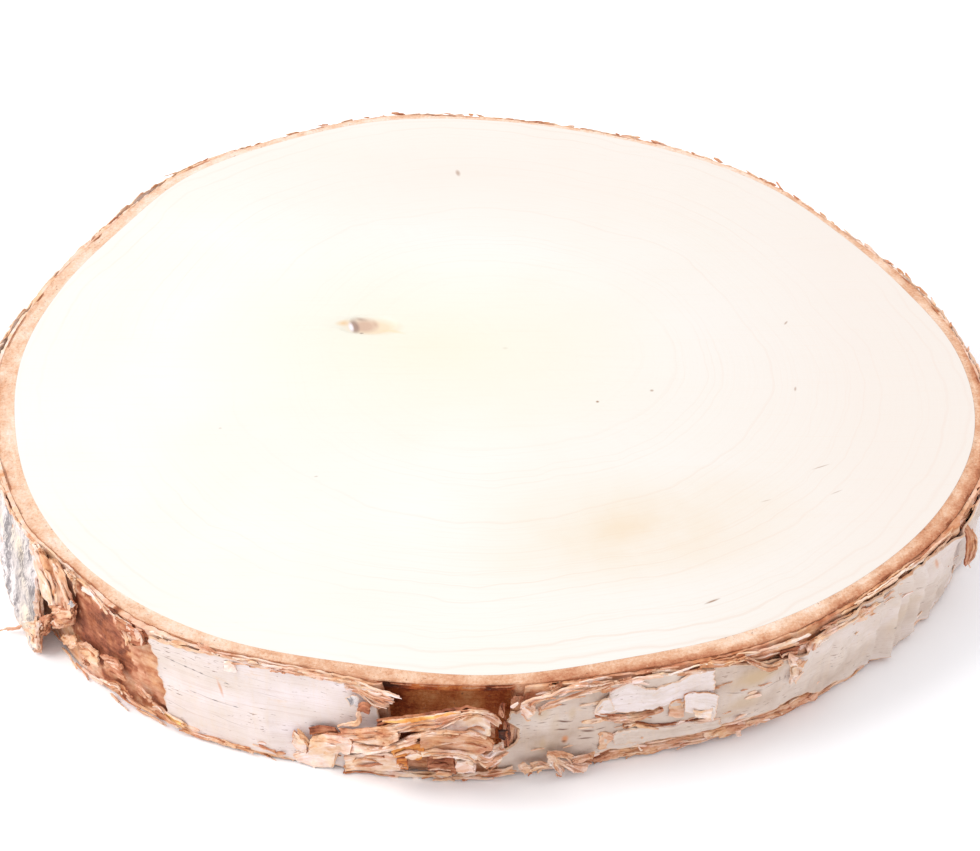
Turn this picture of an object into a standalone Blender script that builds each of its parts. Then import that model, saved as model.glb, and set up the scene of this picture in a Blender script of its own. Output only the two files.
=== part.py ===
"""Birch wood slice: a round sawn straight through a birch trunk, with its bark still on.

The slice lies flat. The origin is the middle of its underside, +Z is up and -Y is the side
with the torn-open bark. Every length is in millimetres until place() makes it metres.
A bearing is an angle in degrees round the slice, from +X towards +Y. A place on the bark
is a bearing, a height above the underside and a stand-off from the bark's mean face.
"""
import math
import random

import bmesh
import bpy
from mathutils import Vector, noise

MM = 0.001
SEED = 11

# Driving dimensions of the slice
THICKNESS = 28.0
LAYER_GAP = 0.3
SAW_EDGE = 0.4
# The wall leans in towards the underside, most on the side of LEAN_BEARING
TAPER = 2.7
LEAN = 1.5
LEAN_BEARING = 340.0
# Radius of the wood and depth of the bark round it, every 15 degrees from +X
WOOD_RADII = (114.5, 108.8, 106.2, 107.2, 107.2, 108.0, 111.2, 115.0,
              115.3, 115.8, 112.0, 112.5, 114.4, 115.5, 117.5, 118.2,
              116.4, 112.8, 112.6, 111.2, 113.4, 115.5, 117.4, 117.8)
BARK_DEPTHS = (3.6, 4.6, 2.8, 2.8, 3.0, 2.7, 2.8, 4.0, 3.6, 4.5, 5.2, 5.4,
               6.8, 6.4, 6.0, 7.4, 6.8, 6.2, 4.6, 5.4, 6.4, 5.2, 5.8, 5.4)
# How far the wall is broken back at the top face, left of the window: bearing, depth
BROKEN_BACK = ((212.0, 0.0), (216.0, 1.6), (220.0, 3.3), (224.0, 3.7), (228.0, 2.5), (232.0, 1.8),
               (240.0, 1.8), (244.0, 2.2), (248.0, 2.3), (252.0, 1.7), (256.0, 0.6), (258.0, 0.0))
# The papery bark takes a fixed depth and a share of the whole bark
PAPER_DEPTH = 0.6
PAPER_SHARE = 0.2
THINNEST_PAPER = 0.6

# Knot in the top face: a shallow oval hollow
KNOT_PLACE = (-30.5, 12.3)
KNOT_SIZE = (12.5, 7.4)
KNOT_DEPTH = 0.9
KNOT_BULB = 5.0

# The torn-open window in the papery bark, and the hollow behind it in the inner bark
WINDOW = (258.6, 272.2)
WINDOW_SILL = 5.0
HOLLOW_DEPTH = 2.2
HOLLOW_HEIGHTS = (5.5, 25.2)

# Where the outermost paper is missing: first and last bearing, lowest and highest height, depth
BARE_PLACES = (
    (214.0, 234.6, -1.0, 29.0, 0.9),
    (234.6, 250.0, -1.0, 2.2, 0.6),
    (273.0, 284.0, 24.0, 29.0, 0.8),
    (284.0, 296.0, 26.4, 29.0, 0.8),
    (296.0, 334.0, 24.2, 29.0, 0.8),
    (282.0, 308.0, -1.0, 4.2, 0.8),
    (20.0, 96.0, 25.0, 29.0, 0.4),
    (118.0, 134.0, -1.0, 9.0, 0.7),
    (150.0, 168.0, 14.0, 29.0, 0.8),
    (56.0, 70.0, 8.0, 18.0, 0.5),
)
# Upright folds of loose paper: bearing, half width in degrees, lowest and highest height, rise
PAPER_FOLDS = (
    (318.4, 1.3, 1.0, 21.0, 2.0),
    (322.6, 1.1, 3.0, 24.0, 1.6),
    (327.0, 1.6, 1.0, 16.0, 1.0),
    (246.5, 2.5, 2.0, 12.0, 0.7),
    (142.0, 2.0, 4.0, 22.0, 1.0),
    (84.0, 1.8, 2.0, 18.0, 0.7),
)

# Sheets of bark that are torn loose and bent: each net holds columns, each column holds
# (bearing, height, stand-off), and the sheet has the thickness given beside it
LEFT_SLAB = (
    ((187.0, 27.3, -0.9), (187.0, 18.0, -0.8), (187.0, 8.0, -0.6), (187.0, 0.9, -0.4)),
    ((196.0, 27.5, -0.7), (196.0, 18.0, 0.4), (196.0, 8.0, 1.6), (196.0, 0.8, 2.6)),
    ((204.0, 27.4, -0.7), (204.0, 18.0, 0.9), (204.0, 8.0, 2.6), (204.0, 0.8, 3.9)),
    ((210.5, 27.2, -0.5), (210.5, 18.0, 1.5), (210.5, 8.0, 3.7), (210.5, 0.8, 5.2)),
    ((216.5, 26.0, 0.2), (216.0, 18.0, 2.2), (216.6, 8.0, 4.5), (217.0, 0.9, 6.2)),
)
CREST = (
    ((253.6, 15.0, -0.6), (253.6, 16.2, 0.6), (253.6, 15.4, 1.4), (253.6, 14.2, 1.4)),
    ((257.0, 13.0, 1.4), (257.0, 18.4, 2.2), (257.0, 19.0, 4.2), (257.0, 16.2, 5.0)),
    ((262.0, 15.0, 1.8), (262.0, 23.0, 2.6), (262.0, 23.6, 5.2), (262.0, 20.0, 6.8)),
    ((266.6, 16.0, 2.0), (266.6, 25.8, 2.8), (266.6, 26.6, 5.6), (266.6, 22.4, 7.6)),
    ((270.2, 14.0, 1.8), (270.2, 23.6, 2.8), (270.2, 24.2, 5.0), (270.2, 19.4, 6.6)),
    ((272.8, 12.0, -0.6), (272.8, 18.0, 1.2), (272.8, 19.2, 2.6), (272.8, 16.4, 3.4)),
)
BELLY = (
    ((254.0, 8.0, -0.6), (254.0, 9.4, 1.2), (254.0, 11.4, 2.0), (254.0, 13.0, 1.8)),
    ((258.0, 5.4, -0.6), (258.0, 7.6, 3.2), (258.0, 11.0, 5.4), (258.0, 14.0, 5.2)),
    ((262.5, 4.4, -0.6), (262.5, 7.0, 4.2), (262.5, 11.6, 7.0), (262.5, 16.2, 6.6)),
    ((266.6, 4.4, -0.6), (266.6, 7.0, 4.4), (266.6, 12.4, 7.6), (266.6, 18.0, 7.0)),
    ((270.2, 5.0, -0.6), (270.2, 7.4, 3.8), (270.2, 12.0, 6.4), (270.2, 15.6, 5.8)),
    ((272.8, 8.0, -0.6), (272.8, 9.0, 1.6), (272.8, 11.0, 3.0), (272.8, 13.0, 2.8)),
)
SPLINTER_STRIP = (
    ((252.6, 27.6, -0.6), (252.6, 26.6, -0.6)),
    ((255.6, 27.8, 0.9), (255.6, 25.4, 1.1)),
    ((258.4, 27.8, 2.0), (258.4, 23.4, 2.3)),
    ((261.4, 27.4, 2.8), (261.0, 25.4, 3.0)),
)
LOWER_RIBBON = (
    ((248.8, 12.4, -0.6), (248.8, 9.4, -0.6), (248.8, 6.6, -0.6)),
    ((252.0, 13.0, 1.4), (252.0, 9.6, 2.2), (252.0, 6.4, 1.4)),
    ((257.0, 13.0, 4.0), (257.0, 9.8, 5.4), (257.0, 7.0, 4.6)),
    ((262.0, 12.4, 6.6), (262.0, 9.8, 7.4), (262.0, 7.6, 6.2)),
    ((265.4, 11.6, 7.0), (265.4, 9.8, 7.6), (265.4, 8.2, 6.6)),
)
BOTTOM_CURL = (
    ((255.0, 5.6, -0.6), (255.0, 3.6, 1.0), (255.0, 1.2, 1.6)),
    ((261.0, 6.6, -0.6), (261.0, 4.2, 2.0), (261.0, 1.0, 2.6)),
    ((267.0, 6.6, -0.6), (267.0, 4.2, 2.4), (267.0, 1.0, 2.8)),
    ((272.0, 5.6, -0.6), (272.0, 3.6, 1.2), (272.0, 1.4, 1.6)),
)
LEFT_ROLL = (
    ((248.2, 13.0, -0.6), (248.0, 8.6, -0.6), (248.4, 4.0, -0.6)),
    ((250.4, 13.4, 1.4), (250.2, 8.8, 1.8), (250.6, 4.4, 1.2)),
    ((252.2, 12.8, 2.8), (252.0, 8.6, 3.4), (252.2, 4.8, 2.4)),
)
EDGE_FLAKE = (
    ((272.6, 26.4, -0.6), (272.6, 22.8, -0.6), (272.6, 19.4, -0.6)),
    ((273.8, 26.0, 1.4), (273.8, 22.6, 1.8), (273.8, 19.6, 1.6)),
    ((275.6, 25.0, 1.6), (275.6, 22.4, 2.0), (275.2, 20.2, 1.8)),
)
LONG_FIBRE = (
    ((273.6, 24.4, -0.5), (273.6, 22.4, -0.5)),
    ((277.0, 26.6, 1.2), (277.0, 24.4, 1.4)),
    ((280.0, 27.8, 1.4), (280.0, 26.0, 1.5)),
    ((282.6, 28.4, 0.9), (282.6, 27.2, 0.9)),
)
WHITE_FLAP = (
    ((290.2, 20.6, -0.6), (290.2, 16.0, -0.6), (290.2, 12.4, -0.6)),
    ((292.4, 21.0, 0.9), (292.4, 16.2, 1.2), (292.4, 12.0, 1.5)),
    ((294.4, 20.8, 1.8), (294.6, 16.4, 2.7), (294.0, 11.4, 3.2)),
)
HOOK = (
    ((326.8, 25.6, -0.6), (326.8, 22.4, -0.6)),
    ((329.2, 25.2, 1.4), (329.2, 21.6, 1.6)),
    ((331.2, 22.6, 3.6), (331.0, 18.8, 3.8)),
    ((331.8, 18.4, 5.2), (331.2, 15.2, 5.4)),
    ((331.0, 14.6, 5.8), (330.4, 12.8, 5.8)),
)
BENT_SHEETS = (
    ("left slab", LEFT_SLAB, 2.0),
    ("crest", CREST, 1.0),
    ("belly", BELLY, 1.0),
    ("splinter strip", SPLINTER_STRIP, 0.9),
    ("lower ribbon", LOWER_RIBBON, 0.9),
    ("bottom curl", BOTTOM_CURL, 0.8),
    ("left roll", LEFT_ROLL, 0.8),
    ("edge flake", EDGE_FLAKE, 0.8),
    ("long fibre", LONG_FIBRE, 0.8),
    ("white flap", WHITE_FLAP, 0.7),
    ("hook", HOOK, 0.8),
)

# Single shreds: bearing and height of the root, length, width, rise of the tip from the
# wall, and the way it points (0 along the bearing, 90 up)
SHRED_THICKNESS = 0.7
SHRED_ROOT = 0.5
SHRED_FLOOR = 0.55
SHRED_LOWEST = 0.5
SHRED_HIGHEST = 28.6
PLACED_SHREDS = (
    (212.8, 1.4, 1.6, 1.2, 10.0, 180.0),
    (217.5, 27.0, 10.0, 2.6, 1.6, -80.0),
    (219.5, 22.0, 9.0, 2.2, 1.8, -95.0),
    (218.5, 9.0, 7.0, 2.4, 1.6, -70.0),
    (221.0, 13.0, 6.0, 2.0, 1.2, -110.0),
    (228.0, 27.6, 5.0, 2.0, 1.3, 175.0),
    (222.0, 4.6, 4.5, 2.0, 1.4, -60.0),
    (230.5, 4.8, 4.2, 2.0, 1.2, -95.0),
    (264.2, 4.4, 5.0, 2.2, 3.4, -60.0),
    (273.6, 7.0, 6.5, 2.2, 2.6, -50.0),
    (275.0, 4.6, 6.0, 2.4, 2.8, -40.0),
    (276.8, 8.2, 7.0, 2.0, 2.6, -35.0),
    (278.0, 4.0, 6.0, 2.2, 2.8, -30.0),
    (279.6, 6.0, 6.5, 2.2, 2.2, -48.0),
    (285.6, 5.4, 4.6, 0.9, 2.8, -65.0),
    (296.8, 4.2, 4.6, 1.6, 2.2, -60.0),
    (296.4, 26.4, 5.0, 1.8, 1.8, -60.0),
    (299.4, 26.4, 6.0, 2.0, 2.0, -35.0),
    (302.2, 26.0, 5.0, 1.8, 1.8, -100.0),
    (304.6, 21.0, 6.5, 1.8, 1.6, -100.0),
    (311.6, 24.4, 5.0, 1.8, 1.2, -20.0),
    (323.0, 25.4, 6.0, 1.8, 1.6, -40.0),
    (334.6, 26.0, 6.0, 1.8, 1.4, -150.0),
    (37.0, 26.0, 5.0, 2.6, 1.8, 40.0),
    (34.0, 26.4, 3.6, 2.0, 1.2, 150.0),
    (51.0, 26.4, 3.4, 2.2, 0.9, 60.0),
    (98.4, 26.6, 3.4, 2.4, 0.9, 70.0),
    (119.6, 26.6, 4.6, 2.2, 1.8, 160.0),
    (176.4, 26.6, 3.6, 2.6, 1.2, 60.0),
)
# Small shreds along both sawn edges, one in each step of the bearing
RIM_SHREDS = 46
RIM_SHRED_LENGTH = (1.8, 3.6)
RIM_SHRED_WIDTH = (1.2, 2.4)
RIM_SHRED_RISE = (0.5, 1.3)
RIM_SHRED_INSET = 2.4


def around(values, bearing):
    """Smooth value at a bearing, from values spaced evenly round the slice."""
    position = (bearing / 360.0 * len(values)) % len(values)
    index = int(position)
    step = position - index
    before, start, end, after = (values[(index + k) % len(values)] for k in (-1, 0, 1, 2))
    cubic = 3.0 * (start - end) + after - before
    square = 2.0 * before - 5.0 * start + 4.0 * end - after
    return start + 0.5 * step * (end - before + step * (square + step * cubic))


def inset(bearing, height):
    """How far the wall has come in at a height below the top face."""
    lean = LEAN * math.cos(math.radians(bearing - LEAN_BEARING))
    return (TAPER + lean) * (1.0 - height / THICKNESS)


def wood_radius(bearing, height):
    return around(WOOD_RADII, bearing) - inset(bearing, height)


def bark_depth(bearing, height):
    """Depth of all the bark, less what is broken away towards the top face."""
    depth = around(BARK_DEPTHS, bearing)
    share = height / THICKNESS
    for (first, from_depth), (last, to_depth) in zip(BROKEN_BACK, BROKEN_BACK[1:]):
        if first <= bearing < last:
            step = (bearing - first) / (last - first)
            depth -= share * (from_depth + (to_depth - from_depth) * step)
    return depth


def bark_radius(bearing, height):
    return wood_radius(bearing, height) + bark_depth(bearing, height)


def paper_depth(bearing):
    return PAPER_DEPTH + PAPER_SHARE * bark_depth(bearing, THICKNESS)


def place(bearing, radius, height):
    """The point at a bearing, radius and height, in metres."""
    angle = math.radians(bearing)
    return Vector((radius * math.cos(angle), radius * math.sin(angle), height)) * MM


def on_wall(bearing, height, stand_off):
    """The point that stands off the bark's mean face, in metres."""
    return place(bearing, bark_radius(bearing, height) + stand_off, height)


def ramp(value, low, high, width):
    """1 between low and high, falling to 0 over the width outside them."""
    return max(0.0, min(1.0, (value - low) / width + 1.0, (high - value) / width + 1.0))


def roughness(bearing, height, scale):
    """Even noise between about -1 and 1 that closes on itself round the slice."""
    point = on_wall(bearing, height, 0.0) / MM
    return noise.noise(point / scale)


def paper_relief(bearing, height):
    """Stand-off of the papery bark's face: waves, missing paper and loose folds."""
    level = 0.45 * roughness(bearing, height, 16.0) + 0.25 * roughness(bearing, height, 5.0)
    for first, last, low, high, depth in BARE_PLACES:
        ragged = 1.5 * roughness(bearing, height, 4.0)
        missing = ramp(bearing, first, last, 0.8) * ramp(height + ragged, low, high, 1.2)
        level -= depth * missing
    for middle, half_width, low, high, rise in PAPER_FOLDS:
        across = (bearing - middle) / half_width
        level += rise * math.exp(-across * across) * ramp(height, low, high, 4.0)
    return max(level, THINNEST_PAPER - paper_depth(bearing))


def inside_window(bearing):
    return ramp(bearing, WINDOW[0], WINDOW[1], 0.5)


def paper_section(bearing):
    """The papery bark cut at a bearing: (radius, height) round the cut."""
    chipped = 0.5 + 0.9 * max(0.0, roughness(bearing, THICKNESS, 6.0))
    top = THICKNESS - chipped
    top += (WINDOW_SILL - top) * inside_window(bearing)
    bottom = 0.2 + 1.4 * max(0.0, roughness(bearing, 0.0, 5.0))
    shares = (0.0, 0.06, 0.16, 0.3, 0.46, 0.62, 0.78, 0.9, 1.0)
    outer = [bottom + share * (top - bottom) for share in shares]
    section = [(bark_radius(bearing, h) + paper_relief(bearing, h), h) for h in outer]
    back = paper_depth(bearing)
    section.append((bark_radius(bearing, top) - back, top))
    section.append((bark_radius(bearing, bottom) - back, bottom))
    return section


def inner_section(bearing):
    """The inner bark cut at a bearing, with the hollow behind the window."""
    heights = (0.0, 4.0, 6.5, 12.0, 18.0, 23.5, 26.0, THICKNESS)
    face = paper_depth(bearing) + LAYER_GAP
    section = []
    for height in heights:
        hollow = inside_window(bearing) * ramp(height, *HOLLOW_HEIGHTS, 1.0)
        grain = 0.25 * roughness(bearing, height, 3.0) * inside_window(bearing)
        radius = bark_radius(bearing, height) - face - HOLLOW_DEPTH * hollow
        section.append((radius - abs(grain), height))
    section.append((wood_radius(bearing, THICKNESS) + LAYER_GAP, THICKNESS))
    section.append((wood_radius(bearing, 0.0) + LAYER_GAP, 0.0))
    return section


def bearings_round(coarse, fine, fine_from, fine_to):
    """Bearings once round the slice, closer together on one stretch."""
    bearings = []
    bearing = 0.0
    while bearing < 360.0 - 0.5 * fine:
        bearings.append(bearing)
        bearing += fine if fine_from <= bearing < fine_to else coarse
    return bearings


def material(name, colour, rough):
    finish = bpy.data.materials.new(name)
    finish.use_nodes = True
    shader = finish.node_tree.nodes["Principled BSDF"]
    shader.inputs["Base Color"].default_value = (*colour, 1.0)
    shader.inputs["Roughness"].default_value = rough
    shader.inputs["Metallic"].default_value = 0.0
    return finish


def object_from(bm, name, collection, finish=None):
    """A named object in a collection, from a finished bmesh."""
    mesh = bpy.data.meshes.new(name)
    bm.to_mesh(mesh)
    bm.free()
    obj = bpy.data.objects.new(name, mesh)
    collection.objects.link(obj)
    if finish:
        mesh.materials.append(finish)
    return obj


def grid_points(bm, columns, rows):
    """Makes a flat grid, and gives each point with its column and row."""
    bmesh.ops.create_grid(bm, x_segments=columns, y_segments=rows, size=1.0)
    for vert in bm.verts:
        yield vert, round((vert.co.x + 1.0) / 2.0 * columns), round((vert.co.y + 1.0) / 2.0 * rows)


def swept_ring(name, bearings, section, collection, finish):
    """A closed ring: a flat grid rolled up so that each column is the section there."""
    sections = [section(bearing) for bearing in bearings]
    rows = len(sections[0])
    bm = bmesh.new()
    for vert, column, row in list(grid_points(bm, len(bearings), rows)):
        radius, height = sections[column % len(bearings)][row % rows]
        vert.co = place(bearings[column % len(bearings)], radius, height)
    bmesh.ops.remove_doubles(bm, verts=bm.verts, dist=0.0000001)
    bmesh.ops.recalc_face_normals(bm, faces=bm.faces)
    bmesh.ops.triangulate(bm, faces=bm.faces)
    ring = object_from(bm, name, collection, finish)
    ring.data.shade_smooth()
    ring.data.set_sharp_from_angle(angle=math.radians(40.0))
    return ring


def bent_sheet(name, net, thickness, collection, levels=1):
    """A sheet of bark bent through a net of places on the wall."""
    bm = bmesh.new()
    for vert, column, row in list(grid_points(bm, len(net) - 1, len(net[0]) - 1)):
        vert.co = on_wall(*net[column][row])
    sheet = object_from(bm, name, collection)
    if levels:
        bend = sheet.modifiers.new("Bend", "SUBSURF")
        bend.levels = levels
        bend.render_levels = levels
        bend.boundary_smooth = "PRESERVE_CORNERS"
    wall = sheet.modifiers.new("Thickness", "SOLIDIFY")
    wall.thickness = thickness * MM
    wall.offset = 0.0
    sheet.modifiers.new("Facets", "TRIANGULATE")
    return sheet


def shred(name, bearing, height, length, width, rise, way, collection):
    """A narrow torn strip: rooted in the wall, it tapers and lifts towards its tip."""
    per_degree = math.radians(1.0) * bark_radius(bearing, height)
    along = Vector((math.cos(math.radians(way)), math.sin(math.radians(way))))
    across = Vector((-along.y, along.x))
    root = max(paper_relief(bearing, height) - SHRED_ROOT, SHRED_FLOOR - paper_depth(bearing))
    net = []
    for share, breadth in ((0.0, 1.0), (0.4, 0.9), (0.75, 0.7), (1.0, 0.35)):
        column = []
        for side in (-0.5, 0.5):
            step = along * (share * length) + across * (side * breadth * width)
            lifted = root + (rise - root) * share ** 1.5
            level = min(max(height + step.y, SHRED_LOWEST), SHRED_HIGHEST)
            column.append((bearing + step.x / per_degree, level, lifted))
        net.append(column)
    return bent_sheet(name, net, SHRED_THICKNESS, collection, levels=0)


def rim_shreds(collection):
    """Small shreds along the sawn edges, left out where the window is open."""
    draw = random.Random(SEED)
    for index in range(RIM_SHREDS):
        bearing = (index + draw.uniform(0.1, 0.9)) * 360.0 / RIM_SHREDS
        length = draw.uniform(*RIM_SHRED_LENGTH)
        width = draw.uniform(*RIM_SHRED_WIDTH)
        rise = draw.uniform(*RIM_SHRED_RISE)
        upper = draw.random() < 0.6
        lean = draw.uniform(-55.0, 55.0)
        if WINDOW[0] - 6.0 < bearing < WINDOW[1] + 3.0 or 186.0 < bearing < 219.0:
            continue
        height = THICKNESS - RIM_SHRED_INSET if upper else RIM_SHRED_INSET + 0.6
        way = 90.0 + lean if upper else -90.0 + lean
        reach = RIM_SHRED_INSET - 0.3
        length = min(length, reach / max(0.2, abs(math.sin(math.radians(way)))))
        shred(f"rim shred {index}", bearing, height, length, width, rise, way, collection)


def main_body(mesh):
    """Drops the loose scraps and sealed hollows that joining leaves beside the main body."""
    bm = bmesh.new()
    bm.from_mesh(mesh)
    waiting = set(bm.verts)
    bodies = []
    while waiting:
        body = {waiting.pop()}
        edge_of_body = set(body)
        while edge_of_body:
            edge_of_body = {edge.other_vert(vert) for vert in edge_of_body
                            for edge in vert.link_edges} - body
            body |= edge_of_body
        waiting -= body
        bodies.append(body)
    bodies.sort(key=len)
    scraps = [vert for body in bodies[:-1] for vert in body]
    bmesh.ops.delete(bm, geom=scraps, context="VERTS")
    bm.to_mesh(mesh)
    bm.free()


def make_wood(collection, cutters):
    """The sawn wood: a plain round with softened edges and the knot's hollow."""
    bm = bmesh.new()
    bmesh.ops.create_cone(bm, cap_ends=True, segments=120, radius1=1.0, radius2=1.0, depth=1.0)
    for vert in bm.verts:
        bearing = math.degrees(math.atan2(vert.co.y, vert.co.x))
        height = THICKNESS if vert.co.z > 0.0 else 0.0
        vert.co = place(bearing, wood_radius(bearing, height), height)
    wood = object_from(bm, "wood_disc", collection,
                       material("birch wood", (0.86, 0.76, 0.60), 0.62))
    edge = wood.modifiers.new("Sawn edge", "BEVEL")
    edge.width = SAW_EDGE * MM
    edge.segments = 1
    edge.limit_method = "ANGLE"
    knot = bmesh.new()
    bmesh.ops.create_uvsphere(knot, u_segments=20, v_segments=12, radius=1.0)
    # A flat bulb whose cap cuts an oval of KNOT_SIZE to KNOT_DEPTH
    sunk = 1.0 - KNOT_DEPTH / KNOT_BULB
    reach = math.sqrt(1.0 - sunk * sunk)
    for vert in knot.verts:
        vert.co.x = KNOT_PLACE[0] + vert.co.x * KNOT_SIZE[0] / 2.0 / reach
        vert.co.y = KNOT_PLACE[1] + vert.co.y * KNOT_SIZE[1] / 2.0 / reach
        vert.co.z = THICKNESS + KNOT_BULB * (sunk + vert.co.z)
        vert.co *= MM
    cutter = object_from(knot, "knot cutter", cutters)
    cutter.hide_render = True
    cutter.display_type = "WIRE"
    hollow = wood.modifiers.new("Knot", "BOOLEAN")
    hollow.operation = "DIFFERENCE"
    hollow.object = cutter
    wood.data.shade_smooth()
    wood.data.set_sharp_from_angle(angle=math.radians(30.0))
    return wood


def make_inner_bark(collection):
    """The tan inner bark: a smooth ring on the wood, hollowed behind the window."""
    bearings = bearings_round(4.0, 1.0, 256.0, 276.0)
    finish = material("inner bark", (0.74, 0.50, 0.33), 0.8)
    return swept_ring("inner_bark", bearings, inner_section, collection, finish)


def make_outer_bark(collection, torn):
    """The papery bark: a rough ring, with all that is torn loose joined to it."""
    bearings = bearings_round(3.0, 1.5, 210.0, 339.0)
    finish = material("papery bark", (0.78, 0.70, 0.64), 0.7)
    bark = swept_ring("outer_bark", bearings, paper_section, collection, finish)
    for name, net, thickness in BENT_SHEETS:
        bent_sheet(name, net, thickness, torn)
    for index, values in enumerate(PLACED_SHREDS):
        shred(f"shred {index}", *values, torn)
    rim_shreds(torn)
    join = bark.modifiers.new("Torn bark", "BOOLEAN")
    join.operation = "UNION"
    join.operand_type = "COLLECTION"
    join.collection = torn
    bpy.context.view_layer.update()
    graph = bpy.context.evaluated_depsgraph_get()
    joined = bpy.data.meshes.new_from_object(bark.evaluated_get(graph))
    bark.modifiers.clear()
    main_body(joined)
    bark.data = joined
    for piece in list(torn.objects):
        bpy.data.objects.remove(piece)
    bpy.data.collections.remove(torn)
    return bark


def main():
    for old in list(bpy.data.objects):
        bpy.data.objects.remove(old)
    scene = bpy.context.scene
    collections = []
    for name in ("birch wood slice", "cutters", "torn bark"):
        collection = bpy.data.collections.new(name)
        scene.collection.children.link(collection)
        collections.append(collection)
    slice_parts, cutters, torn = collections
    make_wood(slice_parts, cutters)
    make_inner_bark(slice_parts)
    make_outer_bark(slice_parts, torn)


main()
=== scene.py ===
import math

import bpy
import numpy as np
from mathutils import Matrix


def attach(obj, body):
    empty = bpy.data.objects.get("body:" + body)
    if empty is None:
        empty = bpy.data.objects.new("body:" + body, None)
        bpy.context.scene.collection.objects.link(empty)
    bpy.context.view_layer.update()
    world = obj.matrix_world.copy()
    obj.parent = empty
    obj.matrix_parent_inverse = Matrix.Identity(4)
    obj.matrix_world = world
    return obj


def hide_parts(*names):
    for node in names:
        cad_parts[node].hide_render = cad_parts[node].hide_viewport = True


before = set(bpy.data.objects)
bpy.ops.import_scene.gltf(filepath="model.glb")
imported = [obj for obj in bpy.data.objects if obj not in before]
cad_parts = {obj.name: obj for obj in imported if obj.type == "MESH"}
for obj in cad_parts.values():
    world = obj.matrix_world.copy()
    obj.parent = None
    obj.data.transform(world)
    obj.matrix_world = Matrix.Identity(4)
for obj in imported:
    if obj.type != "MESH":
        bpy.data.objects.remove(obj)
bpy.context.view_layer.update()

# A round slice of birch with torn bark. Lengths are in millimetres until they reach a mesh.
# A place on the bark is a bearing in degrees, a height and a stand-off from the mean face.
MM = 0.001
DOUBLED = 0.0005 * MM
MAP_UNIT = 100.0
THICKNESS = 28.0
# The wood narrows towards its foot, and leans most at one bearing
TAPER = 2.7
LEAN = 1.5
LEAN_BEARING = 340.0
# The run of the bark's face round the slice
ROUND = 740.0
# Radii of the wood and depths of the bark, at bearings that are spaced evenly
WOOD_RADII = (114.5, 108.8, 106.2, 107.2, 107.2, 108.0, 111.2, 115.0,
              115.3, 115.8, 112.0, 112.5, 114.4, 115.5, 117.5, 118.2,
              116.4, 112.8, 112.6, 111.2, 113.4, 115.5, 117.4, 117.8)
BARK_DEPTHS = (3.6, 4.6, 2.8, 2.8, 3.0, 2.7, 2.8, 4.0, 3.6, 4.5, 5.2, 5.4,
               6.8, 6.4, 6.0, 7.4, 6.8, 6.2, 4.6, 5.4, 6.4, 5.2, 5.8, 5.4)
# How far the bark is broken back at the top face, left of the window: bearing, depth
BROKEN_BACK = ((212.0, 0.0), (216.0, 1.6), (220.0, 3.3), (224.0, 3.7), (228.0, 2.5), (232.0, 1.8),
               (240.0, 1.8), (244.0, 2.2), (248.0, 2.3), (252.0, 1.7), (256.0, 0.6), (258.0, 0.0))
PITH = (5.2, 3.2)
KNOT = (-30.5, 12.3)
# The torn window at the front, from bearing to bearing
WINDOW = (258.6, 272.2)
# How low and how high the paper reaches, and how low any other sheet
PAPER_FOOT = 0.3
PAPER_HEAD = 27.75
SHEET_FOOT = 0.42
# Walls of the paper, the torn sheets, the fibres over them, the fringes and the peels
PAPER_WALL = 0.45
SHEET_WALL = 0.4
FIBRE_WALL = 0.28
FRINGE_WALL = 0.3
PEEL_WALL = 0.22
# How deep a sheet is bitten at both ends and both long edges
LONG_RAG = (0.8, 0.8, 0.35, 0.35)
FINE_RAG = (0.3, 0.3, 0.25, 0.25)
FIBRE_RAG = (0.5, 0.5, 0.14, 0.14)
# Mesh columns round the wood and round each ring of bark
WOOD_TURNS = 720
RING_TURNS = 1500

TABLE = np.random.default_rng(5).uniform(-1.0, 1.0, (512, 512))


# Shape of the slice

def around(values, bearing):
    """Smooth value at each bearing, from values spaced evenly round the slice."""
    values = np.asarray(values)
    position = np.mod(np.asarray(bearing, float) / 360.0 * len(values), len(values))
    index = np.floor(position).astype(int)
    step = position - index
    before, start, end, after = (values[(index + k) % len(values)] for k in (-1, 0, 1, 2))
    cubic = 3.0 * (start - end) + after - before
    square = 2.0 * before - 5.0 * start + 4.0 * end - after
    return start + 0.5 * step * (end - before + step * (square + step * cubic))


def wood_radius(bearing, height):
    lean = LEAN * np.cos(np.radians(bearing - LEAN_BEARING))
    return around(WOOD_RADII, bearing) - (TAPER + lean) * (1.0 - height / THICKNESS)


def traced(line, at):
    """Value at a place on a line that is given by its points."""
    return np.interp(at, *np.transpose(line))


def bark_depth(bearing, height):
    broken = traced(BROKEN_BACK, np.mod(bearing, 360.0))
    return around(BARK_DEPTHS, bearing) - broken * height / THICKNESS


def bark_radius(bearing, height):
    return wood_radius(bearing, height) + bark_depth(bearing, height)


def paper_depth(bearing):
    return 0.6 + 0.2 * bark_depth(bearing, THICKNESS)


def place(bearing, radius, height):
    angle = np.radians(bearing)
    points = (radius * np.cos(angle), radius * np.sin(angle), height + 0.0 * angle)
    return np.stack(points, axis=-1) * MM


def on_wall(bearing, height, stand_off):
    return place(bearing, bark_radius(bearing, height) + stand_off, height)


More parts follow.
